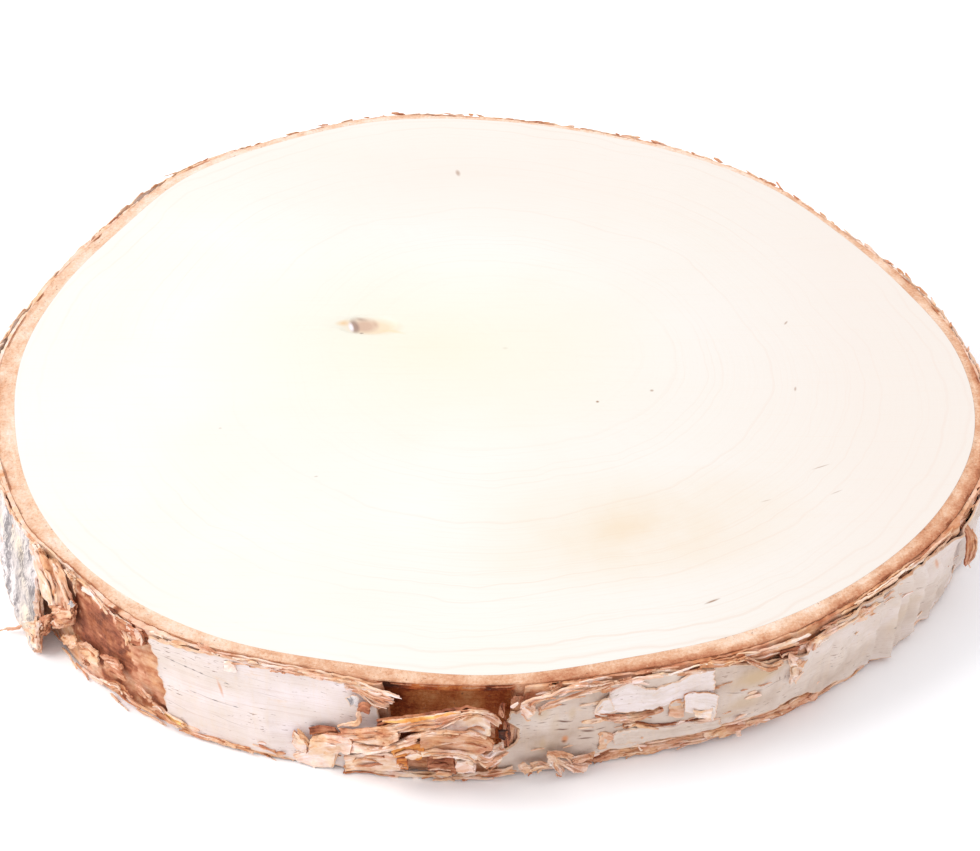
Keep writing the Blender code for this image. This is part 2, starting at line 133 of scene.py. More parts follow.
def lumps(x, y, seed=0, wrap=0):
    """Smooth noise between -1 and 1; with wrap, x closes on itself after that many cells."""
    i = np.floor(x).astype(int)
    j = np.floor(y).astype(int)
    fx, fy = x - i, y - j
    fx = fx * fx * fx * (fx * (fx * 6.0 - 15.0) + 10.0)
    fy = fy * fy * fy * (fy * (fy * 6.0 - 15.0) + 10.0)

    def at(a, b):
        if wrap:
            a = a % wrap
        return TABLE[(a + 57 * seed) % 512, (b + 131 * seed) % 512]

    low = at(i, j) * (1.0 - fx) + at(i + 1, j) * fx
    high = at(i, j + 1) * (1.0 - fx) + at(i + 1, j + 1) * fx
    return low * (1.0 - fy) + high * fy


def grain(bearing, height, along, up, seed=0):
    """Noise on the wall, in cells of so many millimetres along and up, closed round it."""
    cells = max(3, int(round(ROUND / along)))
    return lumps(np.asarray(bearing) / 360.0 * cells, np.asarray(height) / up + 40.0, seed, cells)


def ramp(value, low, high, width):
    return np.clip(np.minimum((value - low) / width + 1.0, (high - value) / width + 1.0), 0.0, 1.0)


# Making meshes

def deselect():
    bpy.ops.object.select_all(action="DESELECT")


def select_only(obj):
    deselect()
    bpy.context.view_layer.objects.active = obj
    obj.select_set(True)


def shares_of(count):
    """Evenly spaced shares from 0 to 1."""
    return np.linspace(0.0, 1.0, count)


def bark_map(bearing, height):
    """The bark's own map: its run round the slice and its height, in tenths of a metre."""
    return np.stack((bearing / 360.0 * ROUND, height), -1) / MAP_UNIT


def grid(name, points, uv=None, paints=None):
    """A grid whose points lie where they are given, in metres, with its map and paints."""
    columns, rows = points.shape[0], points.shape[1]
    deselect()
    bpy.ops.mesh.primitive_grid_add(x_subdivisions=columns - 1, y_subdivisions=rows - 1, size=2.0)
    obj = bpy.context.object
    obj.name = name
    mesh = obj.data
    mesh.name = name
    flat = np.empty(len(mesh.vertices) * 3, np.float32)
    mesh.vertices.foreach_get("co", flat)
    flat = flat.reshape(-1, 3)
    column = np.rint((flat[:, 0] + 1.0) / 2.0 * (columns - 1)).astype(int)
    row = np.rint((flat[:, 1] + 1.0) / 2.0 * (rows - 1)).astype(int)
    mesh.vertices.foreach_set("co", points[column, row].astype(np.float32).ravel())
    if uv is not None:
        corner = np.empty(len(mesh.loops), np.int32)
        mesh.loops.foreach_get("vertex_index", corner)
        layer = mesh.uv_layers[0]
        layer.name = "bark"
        layer.data.foreach_set("uv", uv[column[corner], row[corner]].astype(np.float32).ravel())
    for key, values in (paints or {}).items():
        paint = mesh.attributes.new(key, "FLOAT", "POINT")
        full = np.broadcast_to(values, points.shape[:2])
        paint.data.foreach_set("value", full[column, row].astype(np.float32))
    mesh.update()
    return obj


def clean(obj, outward=True):
    """Merges doubled points and turns every face outwards."""
    select_only(obj)
    bpy.ops.object.mode_set(mode="EDIT")
    bpy.ops.mesh.select_all(action="SELECT")
    bpy.ops.mesh.remove_doubles(threshold=DOUBLED)
    if outward:
        bpy.ops.mesh.normals_make_consistent(inside=False)
    bpy.ops.object.mode_set(mode="OBJECT")


def thicken(obj, thickness):
    """Gives a sheet its wall, whose inner side and rim take the next two materials."""
    select_only(obj)
    wall = obj.modifiers.new("Wall", "SOLIDIFY")
    wall.thickness = thickness * MM
    wall.offset = -1.0
    wall.material_offset = 1
    wall.material_offset_rim = 2
    bpy.ops.object.modifier_apply(modifier=wall.name)


def smooth(obj, angle):
    select_only(obj)
    bpy.ops.object.shade_smooth_by_angle(angle=math.radians(angle))


def joined(name, parts):
    deselect()
    for part in parts:
        part.select_set(True)
    bpy.context.view_layer.objects.active = parts[0]
    if len(parts) > 1:
        bpy.ops.object.join()
    obj = bpy.context.object
    obj.name = name
    obj.data.name = name
    return obj


def hand_over(obj, finishes, slot, *nodes):
    """Gives a finished piece its materials, hangs it from the root and hides the solids that it stands for;
    its slot is not used.
    """
    if finishes:
        obj.data.materials.clear()
        for finish in finishes:
            obj.data.materials.append(finish)
    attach(obj, "root")
    if nodes:
        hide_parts(*nodes)
    return obj


# Materials

def colour(red, green, blue, light=1.0):
    """A colour given as it shows, from 0 to 255, under so much light."""
    shown = (red / 255.0, green / 255.0, blue / 255.0)
    linear = tuple(c / 12.92 if c <= 0.04045 else ((c + 0.055) / 1.055) ** 2.4 for c in shown)
    return tuple(c / light for c in linear) + (1.0,)


class Finish:
    """A material that is built up node by node."""

    def __init__(self, name, rough=0.7, specular=0.3):
        self.made = bpy.data.materials.new(name)
        self.made.use_nodes = True
        self.tree = self.made.node_tree
        self.shader = self.tree.nodes["Principled BSDF"]
        self.shader.inputs["Roughness"].default_value = rough
        self.shader.inputs["Specular IOR Level"].default_value = specular

    def add(self, kind, ins=None, **settings):
        node = self.tree.nodes.new(kind)
        for key, value in settings.items():
            setattr(node, key, value)
        for key, value in (ins or {}).items():
            self.put(node.inputs[key], value)
        return node

    def put(self, socket, value):
        if isinstance(value, bpy.types.NodeSocket):
            self.tree.links.new(value, socket)
        elif isinstance(value, bpy.types.Node):
            self.tree.links.new(value.outputs[0], socket)
        else:
            socket.default_value = value

    def sums(self, operation, a, b=0.0, c=0.0):
        return self.add("ShaderNodeMath", {0: a, 1: b, 2: c}, operation=operation)

    def times(self, a, b):
        return self.sums("MULTIPLY", a, b)

    def vary(self, value, noise, amount):
        """A value that rises and falls with a noise."""
        return self.sums("MULTIPLY_ADD", self.sums("SUBTRACT", noise, 0.5), amount, value)

    def paint(self, name):
        return self.add("ShaderNodeAttribute", attribute_name=name).outputs["Fac"]

    def mapped(self, scale=(1.0, 1.0, 1.0), shift=(0.0, 0.0, 0.0), turn=0.0, uv=False):
        """Object coordinates, or the piece's own map, in millimetres times the scale."""
        if uv:
            source = self.add("ShaderNodeUVMap", uv_map="bark").outputs["UV"]
        else:
            source = self.add("ShaderNodeTexCoord").outputs["Object"]
        size = tuple((MAP_UNIT if uv else 1000.0) * s for s in scale)
        return self.add("ShaderNodeMapping", {"Vector": source, "Scale": size,
                        "Location": shift, "Rotation": (0.0, 0.0, turn)})

    def axis(self, name):
        """How far along an axis the surface lies, in tenths of a metre."""
        return self.add("ShaderNodeSeparateXYZ", {0: self.mapped((0.01,) * 3)}).outputs[name]

    def noise(self, vector, detail=4.0, rough=0.55):
        node = self.add("ShaderNodeTexNoise", {"Vector": vector, "Scale": 1.0, "Detail": detail,
                        "Roughness": rough})
        return node.outputs["Fac"]

    def cloud(self, scale, detail=4.0, rough=0.55, shift=(0.0, 0.0, 0.0)):
        """Noise of one grain in every direction."""
        return self.noise(self.mapped((scale,) * 3, shift), detail, rough)

    def streaks(self, along, up, detail=4.0, rough=0.55, shift=(0.0, 0.0, 0.0)):
        """Noise on the piece's own map, of one grain along it and another up it."""
        return self.noise(self.mapped((along, up, 1.0), shift, uv=True), detail, rough)

    def ramp(self, factor, stops):
        node = self.add("ShaderNodeValToRGB", {"Fac": factor})
        elements = node.color_ramp.elements
        while len(elements) < len(stops):
            elements.new(0.5)
        for element, (position, shade) in zip(elements, stops):
            element.position = position
            element.color = shade if len(shade) == 4 else (*shade, 1.0)
        return node.outputs["Color"]

    def mix(self, factor, a, b, blend="MIX"):
        node = self.add("ShaderNodeMix", data_type="RGBA", blend_type=blend)
        self.put(node.inputs["Factor"], factor)
        self.put(node.inputs["A"], a)
        self.put(node.inputs["B"], b)
        return node.outputs["Result"]

    def limits(self, value, low, high, to_low=0.0, to_high=1.0):
        node = self.add("ShaderNodeMapRange", {"Value": value, "From Min": low, "From Max": high,
                        "To Min": to_low, "To Max": to_high})
        return node.outputs["Result"]

    def lay(self, base, value, low, high, share, shade):
        """The base with a shade laid over it, up to a share, where the value is high."""
        return self.mix(self.limits(value, low, high, 0.0, share), base, shade)

    def bump(self, height, depth, strength):
        ins = {"Height": height, "Distance": depth * MM, "Strength": strength}
        return self.add("ShaderNodeBump", ins).outputs["Normal"]

    def done(self, base, rough=None, normal=None):
        for name, value in (("Base Color", base), ("Roughness", rough), ("Normal", normal)):
            if value is not None:
                self.put(self.shader.inputs[name], value)
        return self.made


def spot(finish, vector, x, y, half_length, half_width, turn, edge=0.5):
    """1 inside a soft oval mark at a place in millimetres, 0 outside it."""
    angle = math.radians(turn)
    shift = (-(x * math.cos(angle) + y * math.sin(angle)) / half_length,
             (x * math.sin(angle) - y * math.cos(angle)) / half_width, 0.0)
    turned = finish.add("ShaderNodeVectorRotate", {"Vector": vector, "Angle": -angle},
                        rotation_type="Z_AXIS")
    scaled = finish.add("ShaderNodeVectorMath", {0: turned.outputs[0],
                        1: (1.0 / half_length, 1.0 / half_width, 0.0), 2: shift},
                        operation="MULTIPLY_ADD")
    away = finish.add("ShaderNodeVectorMath", {0: scaled.outputs[0]}, operation="LENGTH")
    return finish.limits(away.outputs["Value"], 1.0, 1.0 - edge)


def polar(bearing, radius):
    angle = math.radians(bearing)
    return radius * math.cos(angle), radius * math.sin(angle)


# Marks on the sawn face: bearing, radius, half length, half width, turn, strength
WOOD_FLECKS = (
    (96.0, 83.8, 2.0, 0.8, 100.0, 0.55),
    (298.0, 101.8, 2.3, 0.35, 28.0, 0.8),
    (323.0, 32.1, 0.5, 0.45, 0.0, 0.9),
    (339.0, 41.6, 0.6, 0.55, 20.0, 0.6),
    (10.0, 74.9, 1.1, 0.35, 60.0, 0.6),
    (349.0, 74.7, 1.1, 0.35, 80.0, 0.55),
    (31.6, 4.4, 0.9, 0.6, 0.0, 0.14),
    (330.0, 88.0, 2.8, 0.22, 25.0, 0.5),
    (326.0, 95.0, 2.0, 0.2, 30.0, 0.4),
    (318.0, 84.0, 1.6, 0.2, 20.0, 0.35),
    (230.0, 62.0, 0.6, 0.3, 15.0, 0.35),
    (205.0, 70.0, 0.5, 0.4, 0.0, 0.25),
)

# The knot: place, half length, half width, turn, strength, colour, softness
KNOT_SPOTS = (
    (-29.4, 11.8, 8.4, 4.3, -8.0, 0.75, colour(240, 214, 180, 1.25), 0.5),
    (-36.6, 13.4, 2.4, 1.4, 20.0, 0.7, colour(236, 192, 138, 1.2), 0.9),
    (-31.3, 12.6, 4.2, 3.6, 0.0, 0.8, colour(206, 170, 150, 1.2), 0.6),
    # Painted shade in the crack on the knot's left side
    (-33.8, 12.2, 1.5, 3.6, 12.0, 0.75, colour(138, 112, 104), 0.5),
    # Painted highlight on the lit edge beside that crack
    (-34.6, 12.0, 0.8, 2.4, 12.0, 0.9, colour(240, 232, 236), 0.7),
    (-32.4, 15.2, 2.2, 0.8, -10.0, 0.55, colour(150, 120, 106), 0.9),
    (-31.9, 9.3, 0.7, 0.6, 0.0, 0.7, colour(110, 84, 76), 0.8),
    (-28.6, 13.4, 0.8, 1.9, 20.0, 0.4, colour(176, 140, 124), 0.9),
    (-24.2, 9.6, 4.2, 0.8, -20.0, 0.5, colour(244, 214, 168, 1.2), 0.9),
)


def sawn_wood():
    """Pale sawn birch: faint growth rings, a warm stain, flecks and fine saw marks."""
    f = Finish("sawn birch", rough=0.62, specular=0.25)
    spot_at = f.mapped()
    ring = f.paint("ring")
    warp = f.cloud(0.03, detail=3.0)
    rings = f.sums("MULTIPLY_ADD", ring, 56.0, f.times(warp, 5.0))
    bands = f.noise(f.add("ShaderNodeCombineXYZ", {"X": rings}), detail=2.0, rough=0.7)
    lines = f.limits(bands, 0.56, 0.72)
    fine = f.noise(f.add("ShaderNodeCombineXYZ", {"X": f.times(ring, 150.0)}), detail=1.0)
    # The rings show most on the right and behind, and fade in the middle on the left
    clear = f.limits(f.cloud(0.012, detail=2.0, shift=(0.4, 0.2, 0.0)), 0.35, 0.6)
    east = f.limits(f.axis("X"), -0.3, 0.6, 0.4, 1.0)
    outer = f.limits(ring, 0.25, 0.75, 0.25, 1.0)
    show = f.times(f.times(clear, east), outer)
    base = f.ramp(f.cloud(0.02, detail=3.0, shift=(3.0, 1.0, 0.0)),
                  ((0.3, colour(255, 254, 249, 1.36)), (0.7, colour(254, 251, 242, 1.38))))
    base = f.mix(f.times(show, f.times(lines, 0.8)), base, colour(226, 188, 164, 1.2))
    base = f.mix(f.times(f.limits(fine, 0.45, 0.75), f.times(show, 0.16)), base, colour(214, 176, 140))
    # Painted shade: the top face is laid darker and warmer towards the right, away from the light on the
    # left
    right = f.limits(f.axis("X"), 0.0, 0.9)
    base = f.mix(f.times(right, 0.8), base, colour(252, 240, 231, 1.37))
    stain = spot(f, spot_at, *polar(298.0, 74.0), 42.0, 22.0, 12.0, edge=1.0)
    patchy = f.limits(f.cloud(0.06), 0.3, 0.7, 0.35, 1.0)
    base = f.mix(f.times(stain, f.times(patchy, 0.7)), base, colour(250, 222, 184, 1.4))
    for middle, half_sizes, share, shade in (
            ((-14.0, 4.0), (66.0, 46.0), 0.75, colour(253, 247, 224, 1.38)),
            ((-6.0, 84.0), (96.0, 44.0), 0.8, colour(253, 240, 230, 1.36))):
        wide = spot(f, spot_at, *middle, *half_sizes, 0.0, edge=1.0)
        base = f.mix(f.times(wide, share), base, shade)
    # Short pores and scratches that run with the fibres of the face
    pores = f.noise(f.mapped((0.9, 3.2, 1.0), turn=0.3), detail=2.0, rough=0.7)
    base = f.mix(f.times(f.limits(pores, 0.7, 0.8), 0.3), base, colour(196, 158, 124))
    saw = f.noise(f.mapped((0.04, 2.4, 1.0), turn=0.12), detail=3.0)
    base = f.mix(f.times(f.limits(saw, 0.55, 0.75), 0.10), base, colour(220, 190, 165))
    # The flecks and the knot are in the top face alone
    on_top = f.limits(f.axis("Z"), 0.1, 0.2)
    for bearing, radius, half_length, half_width, turn, strength in WOOD_FLECKS:
        fleck = spot(f, spot_at, *polar(bearing, radius), half_length, half_width, turn, edge=0.7)
        fleck = f.times(fleck, on_top)
        base = f.mix(f.times(fleck, strength), base, colour(140, 96, 62))
    for x, y, half_length, half_width, turn, strength, shade, edge in KNOT_SPOTS:
        part = f.times(spot(f, spot_at, x, y, half_length, half_width, turn, edge), on_top)
        base = f.mix(f.times(part, strength), base, shade)
    fibres = f.noise(f.mapped((0.6, 6.0, 1.0), turn=0.12), detail=3.0)
    normal = f.bump(f.sums("ADD", saw, fibres), 0.05, 0.5)
    rough = f.limits(fibres, 0.3, 0.7, 0.55, 0.7)
    return f.done(base, rough, normal)


# Shades of torn bark by tone, from pale to dark
BARK_TONES = (
    (0.00, colour(241, 230, 226)),
    (0.14, colour(236, 213, 198)),
    (0.30, colour(225, 189, 162)),
    (0.45, colour(208, 157, 124)),
    (0.60, colour(182, 119, 86)),
    (0.75, colour(150, 87, 60)),
    (0.88, colour(108, 58, 40)),
    (1.00, colour(60, 34, 26)),
)
AMBER_TONES = (
    (0.00, colour(252, 226, 176)),
    (0.25, colour(242, 194, 122)),
    (0.45, colour(222, 152, 80)),
    (0.65, colour(186, 108, 52)),
    (0.85, colour(124, 64, 32)),
    (1.00, colour(66, 34, 22)),
)


def torn_bark(name, tone, spread, streak=(0.28, 1.5), shift=0.0, tones=BARK_TONES):
    """Torn bark in its layers, from pale to dark by a painted tone, mottled and streaked."""
    f = Finish(name, rough=0.75, specular=0.25)
    value = f.paint(tone)
    if shift:
        value = f.sums("ADD", value, shift)
    streaks = f.streaks(*streak, detail=5.0, rough=0.6)
    cracks = f.streaks(streak[0] * 1.5, streak[1] * 1.8, detail=3.0, rough=0.6, shift=(7.0, 3.0, 0.0))
    patches = f.cloud(0.28, rough=0.6)
    fine = f.cloud(1.6, detail=3.0, rough=0.7)
    value = f.vary(value, streaks, spread * 1.3)
    value = f.vary(value, patches, spread * 2.2)
    value = f.vary(value, fine, spread * 0.6)
    value = f.sums("ADD", value, f.limits(cracks, 0.62, 0.74, 0.0, spread * 0.6))
    base = f.ramp(value, tones)
    # Some layers are pinkish and some yellowish
    hue = f.cloud(0.2, detail=3.0, shift=(4.0, 8.0, 2.0))
    base = f.mix(f.limits(hue, 0.5, 0.62, 0.0, 0.8), base, (1.0, 0.90, 0.72, 1.0), "MULTIPLY")
    base = f.mix(f.limits(hue, 0.5, 0.4, 0.0, 0.7), base, (1.0, 0.88, 0.88, 1.0), "MULTIPLY")
    height = f.sums("SUBTRACT", streaks, f.limits(cracks, 0.62, 0.74, 0.0, 0.4))
    normal = f.bump(f.sums("ADD", height, f.times(fine, 0.6)), 0.12, 0.8)
    return f.done(base, f.limits(fine, 0.3, 0.7, 0.63, 0.85), normal)


# Marks on the white bark: bearing, height, half length, half width, turn, strength, tint
MARK_TINTS = (colour(104, 66, 48), colour(100, 86, 84), colour(206, 134, 84), colour(196, 168, 134))
PAPER_MARKS = (
    (238.3, 21.2, 9.0, 0.12, -7.4, 0.6, 1), (240.9, 13.9, 7.4, 0.12, -4.8, 0.55, 1),
    (236.4, 21.7, 0.7, 0.26, -8.0, 0.8, 1), (237.9, 21.3, 0.5, 0.3, -8.0, 0.9, 1),
    (238.8, 21.1, 0.5, 0.25, -8.0, 0.8, 1), (239.7, 20.9, 0.6, 0.28, -8.0, 0.9, 1),
    (242.5, 20.0, 0.7, 0.22, -8.0, 0.8, 1), (241.0, 13.9, 0.9, 0.22, -5.0, 0.8, 1),
    (243.2, 13.5, 0.8, 0.22, -5.0, 0.7, 1), (238.6, 14.2, 0.6, 0.2, -5.0, 0.6, 1),
    (235.3, 18.2, 0.5, 0.18, -5.0, 0.6, 1), (236.7, 26.8, 1.3, 0.5, -10.0, 0.9, 1),
    (241.7, 18.0, 0.45, 3.0, 12.0, 0.6, 2), (243.2, 25.4, 0.5, 1.2, 0.0, 0.5, 2),
    (236.2, 8.0, 4.5, 0.1, -14.0, 0.4, 0), (242.0, 8.6, 6.0, 0.1, -12.0, 0.35, 0),
    (247.0, 19.0, 5.0, 0.1, -10.0, 0.3, 0), (246.0, 23.0, 4.0, 0.1, -6.0, 0.3, 0),
    (251.3, 11.8, 0.7, 0.4, 10.0, 0.7, 1), (252.8, 11.4, 0.6, 0.5, 0.0, 0.7, 1),
    (256.0, 23.4, 0.5, 0.9, 0.0, 0.7, 1), (256.3, 20.8, 0.5, 0.5, 0.0, 0.7, 1),
    (298.8, 19.6, 8.0, 3.8, 10.0, 0.85, 3), (297.6, 11.5, 6.0, 3.0, 5.0, 0.5, 3),
    (296.3, 15.7, 2.9, 0.16, -24.0, 0.7, 0), (301.0, 14.8, 3.2, 0.14, 14.0, 0.55, 0),
    (298.8, 14.1, 1.9, 1.0, 10.0, 0.6, 0),
    (320.0, 14.0, 8.0, 5.0, 20.0, 0.4, 3), (276.0, 8.0, 5.0, 3.0, 0.0, 0.3, 3),
    (286.0, 12.6, 3.0, 1.2, -6.0, 0.4, 3), (288.2, 18.2, 3.0, 1.0, -4.0, 0.5, 3),
    (276.8, 15.0, 1.5, 5.0, 0.0, 0.3, 3),
    (296.0, 8.0, 5.0, 0.8, 4.0, 0.35, 3), (332.0, 15.0, 5.0, 0.16, 8.0, 0.4, 0),
    (278.6, 18.4, 1.1, 2.6, 0.0, 0.5, 3), (275.4, 19.5, 2.4, 3.6, 0.0, 0.5, 3),
    (275.6, 9.0, 1.0, 3.0, 0.0, 0.45, 3), (278.0, 9.6, 1.0, 1.5, 0.0, 0.85, 2),
    (277.4, 21.5, 1.3, 0.3, 2.0, 0.8, 0), (277.7, 16.0, 1.9, 0.5, -8.0, 0.9, 0),
    (277.6, 13.0, 2.0, 0.34, -6.0, 0.85, 0), (277.6, 5.2, 2.4, 0.45, -6.0, 0.85, 0),
    (277.9, 9.0, 0.7, 0.5, 0.0, 0.7, 0), (275.4, 16.3, 1.2, 0.26, 0.0, 0.6, 0),
    (280.4, 11.6, 1.9, 0.45, -8.0, 0.9, 0), (280.2, 9.2, 2.2, 0.36, -6.0, 0.85, 0),
    (281.4, 16.0, 1.6, 0.3, -4.0, 0.8, 0), (281.8, 11.8, 1.5, 0.26, 2.0, 0.8, 0),
    (282.2, 9.2, 1.2, 0.2, 0.0, 0.7, 0), (279.8, 19.6, 0.9, 0.18, 5.0, 0.6, 0),
    (281.0, 13.8, 0.9, 0.16, 0.0, 0.6, 0), (287.2, 21.0, 1.0, 0.2, 0.0, 0.4, 0),
    (301.6, 15.8, 0.16, 0.9, 10.0, 0.7, 0), (302.3, 15.4, 0.16, 1.1, 12.0, 0.7, 0),
    (303.0, 15.0, 0.14, 0.9, 8.0, 0.6, 0), (300.2, 19.2, 1.2, 0.16, 8.0, 0.5, 0),
    (315.7, 12.8, 0.5, 0.35, 30.0, 0.8, 1), (318.0, 12.0, 0.4, 0.3, 0.0, 0.7, 1),
    (322.5, 15.5, 0.35, 0.5, 0.0, 0.6, 1), (309.0, 11.0, 0.3, 0.25, 0.0, 0.5, 1),
    (312.4, 7.0, 1.3, 0.16, 6.0, 0.4, 0), (306.8, 15.0, 1.0, 0.15, 10.0, 0.4, 0),
    (325.0, 21.2, 0.8, 1.8, 10.0, 0.6, 2), (299.0, 13.2, 1.3, 1.0, 0.0, 0.45, 2),
)

def white_paper():
    """The white face of birch bark: smooth, faintly banded, with tan where it is torn."""
    f = Finish("white bark paper", rough=0.55, specular=0.35)
    shade = f.paint("tone")
    tear = f.paint("tear")
    on_map = f.mapped(uv=True)
    broad = f.streaks(0.05, 0.09, rough=0.6)
    cloud = f.cloud(0.2, detail=5.0, rough=0.7)
    tint = f.vary(f.vary(shade, broad, 0.6), cloud, 0.5)
    base = f.ramp(tint, ((0.0, colour(236, 224, 226)), (0.25, colour(226, 212, 208)),
                         (0.5, colour(215, 199, 188)), (0.75, colour(198, 178, 164)),
                         (1.0, colour(168, 142, 122))))
    lines = f.streaks(0.05, 2.6, rough=0.65)
    base = f.lay(base, lines, 0.5, 0.72, 0.34, colour(188, 156, 138))
    upright = f.streaks(0.9, 0.05, detail=3.0)
    base = f.lay(base, upright, 0.5, 0.8, 0.26, colour(224, 200, 172))
    dashes = f.streaks(0.42, 2.4, detail=2.0, rough=0.6, shift=(3.0, 9.0, 0.0))
    few = f.streaks(0.08, 0.1, detail=1.0, shift=(2.0, 6.0, 0.0))
    dash = f.limits(f.sums("MULTIPLY_ADD", few, 0.35, dashes), 0.85, 0.89)
    base = f.mix(f.times(dash, 0.75), base, colour(120, 82, 62))
    specks = f.streaks(0.8, 1.6, detail=2.0, rough=0.8)
    base = f.lay(base, specks, 0.66, 0.78, 0.5, colour(166, 126, 100))
    stains = f.streaks(0.16, 0.3, rough=0.7, shift=(8.0, 1.0, 0.0))
    base = f.lay(base, stains, 0.6, 0.74, 0.5, colour(216, 182, 146))
    for bearing, height, half_length, half_width, turn, strength, tint_at in PAPER_MARKS:
        mark = spot(f, on_map, bearing / 360.0 * ROUND, height, half_length, half_width, turn, edge=0.7)
        base = f.mix(f.times(mark, strength), base, MARK_TINTS[tint_at])
    ragged = f.streaks(0.5, 1.4)
    edge = f.limits(f.vary(tear, ragged, 0.9), 0.5, 1.1)
    torn_tint = f.ramp(ragged, ((0.3, colour(198, 142, 108)), (0.7, colour(230, 200, 166))))
    base = f.mix(edge, base, torn_tint)
    height = f.sums("ADD", f.times(lines, 0.7), f.times(specks, 0.3))
    height = f.sums("MULTIPLY_ADD", cloud, 0.8, height)
    normal = f.bump(height, 0.12, 0.7)
    return f.done(base, f.limits(broad, 0.3, 0.7, 0.48, 0.64), normal)


def inner_bark_finish():
    """Tan inner bark: granular and flecked on the sawn face, brown where it lies open."""
    f = Finish("inner bark", rough=0.8, specular=0.2)
    tone = f.paint("tone")
    coarse = f.cloud(0.22, detail=3.0)
    grains = f.cloud(1.5, rough=0.75)
    streaks = f.streaks(0.12, 0.9, rough=0.7)
    value = f.vary(tone, coarse, 0.4)
    value = f.vary(value, grains, 0.5)
    value = f.vary(value, streaks, 0.4)
    base = f.ramp(value, BARK_TONES)
    base = f.mix(f.paint("open"), base, f.ramp(value, (
        (0.2, colour(236, 176, 122)), (0.42, colour(210, 128, 72)), (0.6, colour(168, 80, 38)),
        (0.78, colour(112, 48, 24)), (0.95, colour(60, 28, 18)))))
    specks = f.cloud(1.1, detail=2.0, rough=0.9, shift=(5.0, 2.0, 1.0))
    base = f.lay(base, specks, 0.64, 0.74, 0.7, colour(122, 70, 44))
    pale = f.cloud(1.3, detail=2.0, rough=0.9, shift=(1.0, 8.0, 4.0))
    base = f.lay(base, pale, 0.66, 0.76, 0.5, colour(240, 216, 190))
    normal = f.bump(f.sums("ADD", grains, f.times(specks, 0.5)), 0.22, 1.0)
    return f.done(base, f.limits(grains, 0.3, 0.7, 0.72, 0.9), normal)


def lichen_paper():
    """Weathered grey-white bark with grey-black lichen that runs down it in streaks."""
    f = Finish("lichen bark", rough=0.75, specular=0.25)
    tone = f.paint("tone")
    broad = f.cloud(0.08, detail=3.0)
    base = f.ramp(broad, ((0.35, colour(230, 220, 218)), (0.55, colour(216, 204, 198)),
                          (0.75, colour(232, 214, 188))))
    soft = f.streaks(0.5, 0.14, rough=0.65)
    base = f.lay(base, soft, 0.46, 0.66, 0.75, colour(168, 160, 160))
    patch = f.streaks(0.13, 0.06, detail=3.0, shift=(2.0, 5.0, 1.0))
    grey = f.streaks(1.1, 0.26, detail=5.0, rough=0.75)
    grey = f.vary(grey, patch, 0.9)
    grey = f.sums("MULTIPLY_ADD", tone, 0.12, grey)
    # The lichen thins out towards the back
    grey = f.sums("SUBTRACT", grey, f.limits(f.axis("Y"), -0.42, -0.14, 0.0, 0.22))
    base = f.lay(base, grey, 0.50, 0.64, 0.8, colour(102, 96, 100))
    specks = f.noise(f.mapped((2.6, 2.6, 1.4)), detail=3.0, rough=0.8)
    black = f.sums("MULTIPLY_ADD", patch, 0.3, specks)
    base = f.lay(base, black, 0.78, 0.86, 0.8, colour(58, 50, 50))
    tear = f.sums("MULTIPLY_ADD", specks, 0.5, f.paint("tear"))
    base = f.lay(base, tear, 0.75, 1.1, 0.7, colour(214, 176, 142))
    normal = f.bump(f.sums("ADD", grey, f.times(specks, 0.5)), 0.2, 0.8)
    return f.done(base, f.limits(soft, 0.3, 0.7, 0.65, 0.85), normal)


SAWN_WOOD = sawn_wood()
INNER_BARK = inner_bark_finish()
BARK_FACE = torn_bark("torn bark face", "tone", 0.26)
BEHIND = (torn_bark("torn bark back", "under", 0.3),
          torn_bark("torn bark edge", "under", 0.35, shift=-0.06, streak=(0.4, 3.0)))
LOOKS = {
    "paper": (white_paper(), *BEHIND),
    "bark": (BARK_FACE, *BEHIND),
    "amber": (torn_bark("amber bark face", "tone", 0.35, tones=AMBER_TONES), *BEHIND),
    "lichen": (lichen_paper(), *BEHIND),
}


# Wood

def make_wood():
    """The sawn wood: two faces and the side between them, with the knot's hollow."""
    bearing = np.linspace(0.0, 360.0, WOOD_TURNS + 1)
    near = np.concatenate((np.linspace(0.0, 0.18, 9), np.linspace(0.19, 0.37, 44),
                           np.linspace(0.4, 0.985, 14)))
    shares = np.concatenate((near, (0.9996, 1.0, 1.0), (1.0, 1.0, 0.9996), np.linspace(0.94, 0.0, 3)))
    heights = np.concatenate((np.full(len(near), THICKNESS), (THICKNESS, THICKNESS - 0.05, THICKNESS - 1.2),
                              (1.2, 0.05, 0.0), np.full(3, 0.0)))
    b = bearing[:, None] + 0.0 * shares[None, :]
    h = heights[None, :] + 0.0 * b
    edge = wood_radius(b, h)
    angle = np.radians(b)
    out_x, out_y = edge * np.cos(angle), edge * np.sin(angle)
    share = shares[None, :]
    x = PITH[0] + (out_x - PITH[0]) * share
    y = PITH[1] + (out_y - PITH[1]) * share
    across, up = x - KNOT[0], y - KNOT[1]
    oval = np.sqrt((across / 6.6) ** 2 + (up / 3.8) ** 2)
    on_top = (h > THICKNESS * 0.9) & (share < 0.99)
    knot_dip = 0.95 * np.clip(1.12 - oval, 0.0, 1.0) ** 0.5 * (oval < 1.12)
    saw = 0.03 * lumps(x / 30.0 + 9.0, y / 0.9 + 0.12 * x + 60.0, 3)
    h = h - np.where(on_top, knot_dip - saw * (share < 0.96), 0.0)
    h = np.where((h < 0.5) & (share < 0.96), 0.0, h)
    points = np.stack((x, y, h), axis=-1) * MM
    wood = grid("sawn_wood", points, paints={"ring": share + 0.0 * b})
    clean(wood)
    smooth(wood, 40.0)
    return hand_over(wood, (SAWN_WOOD,), "birch_wood", "wood_disc")


# Rings of bark

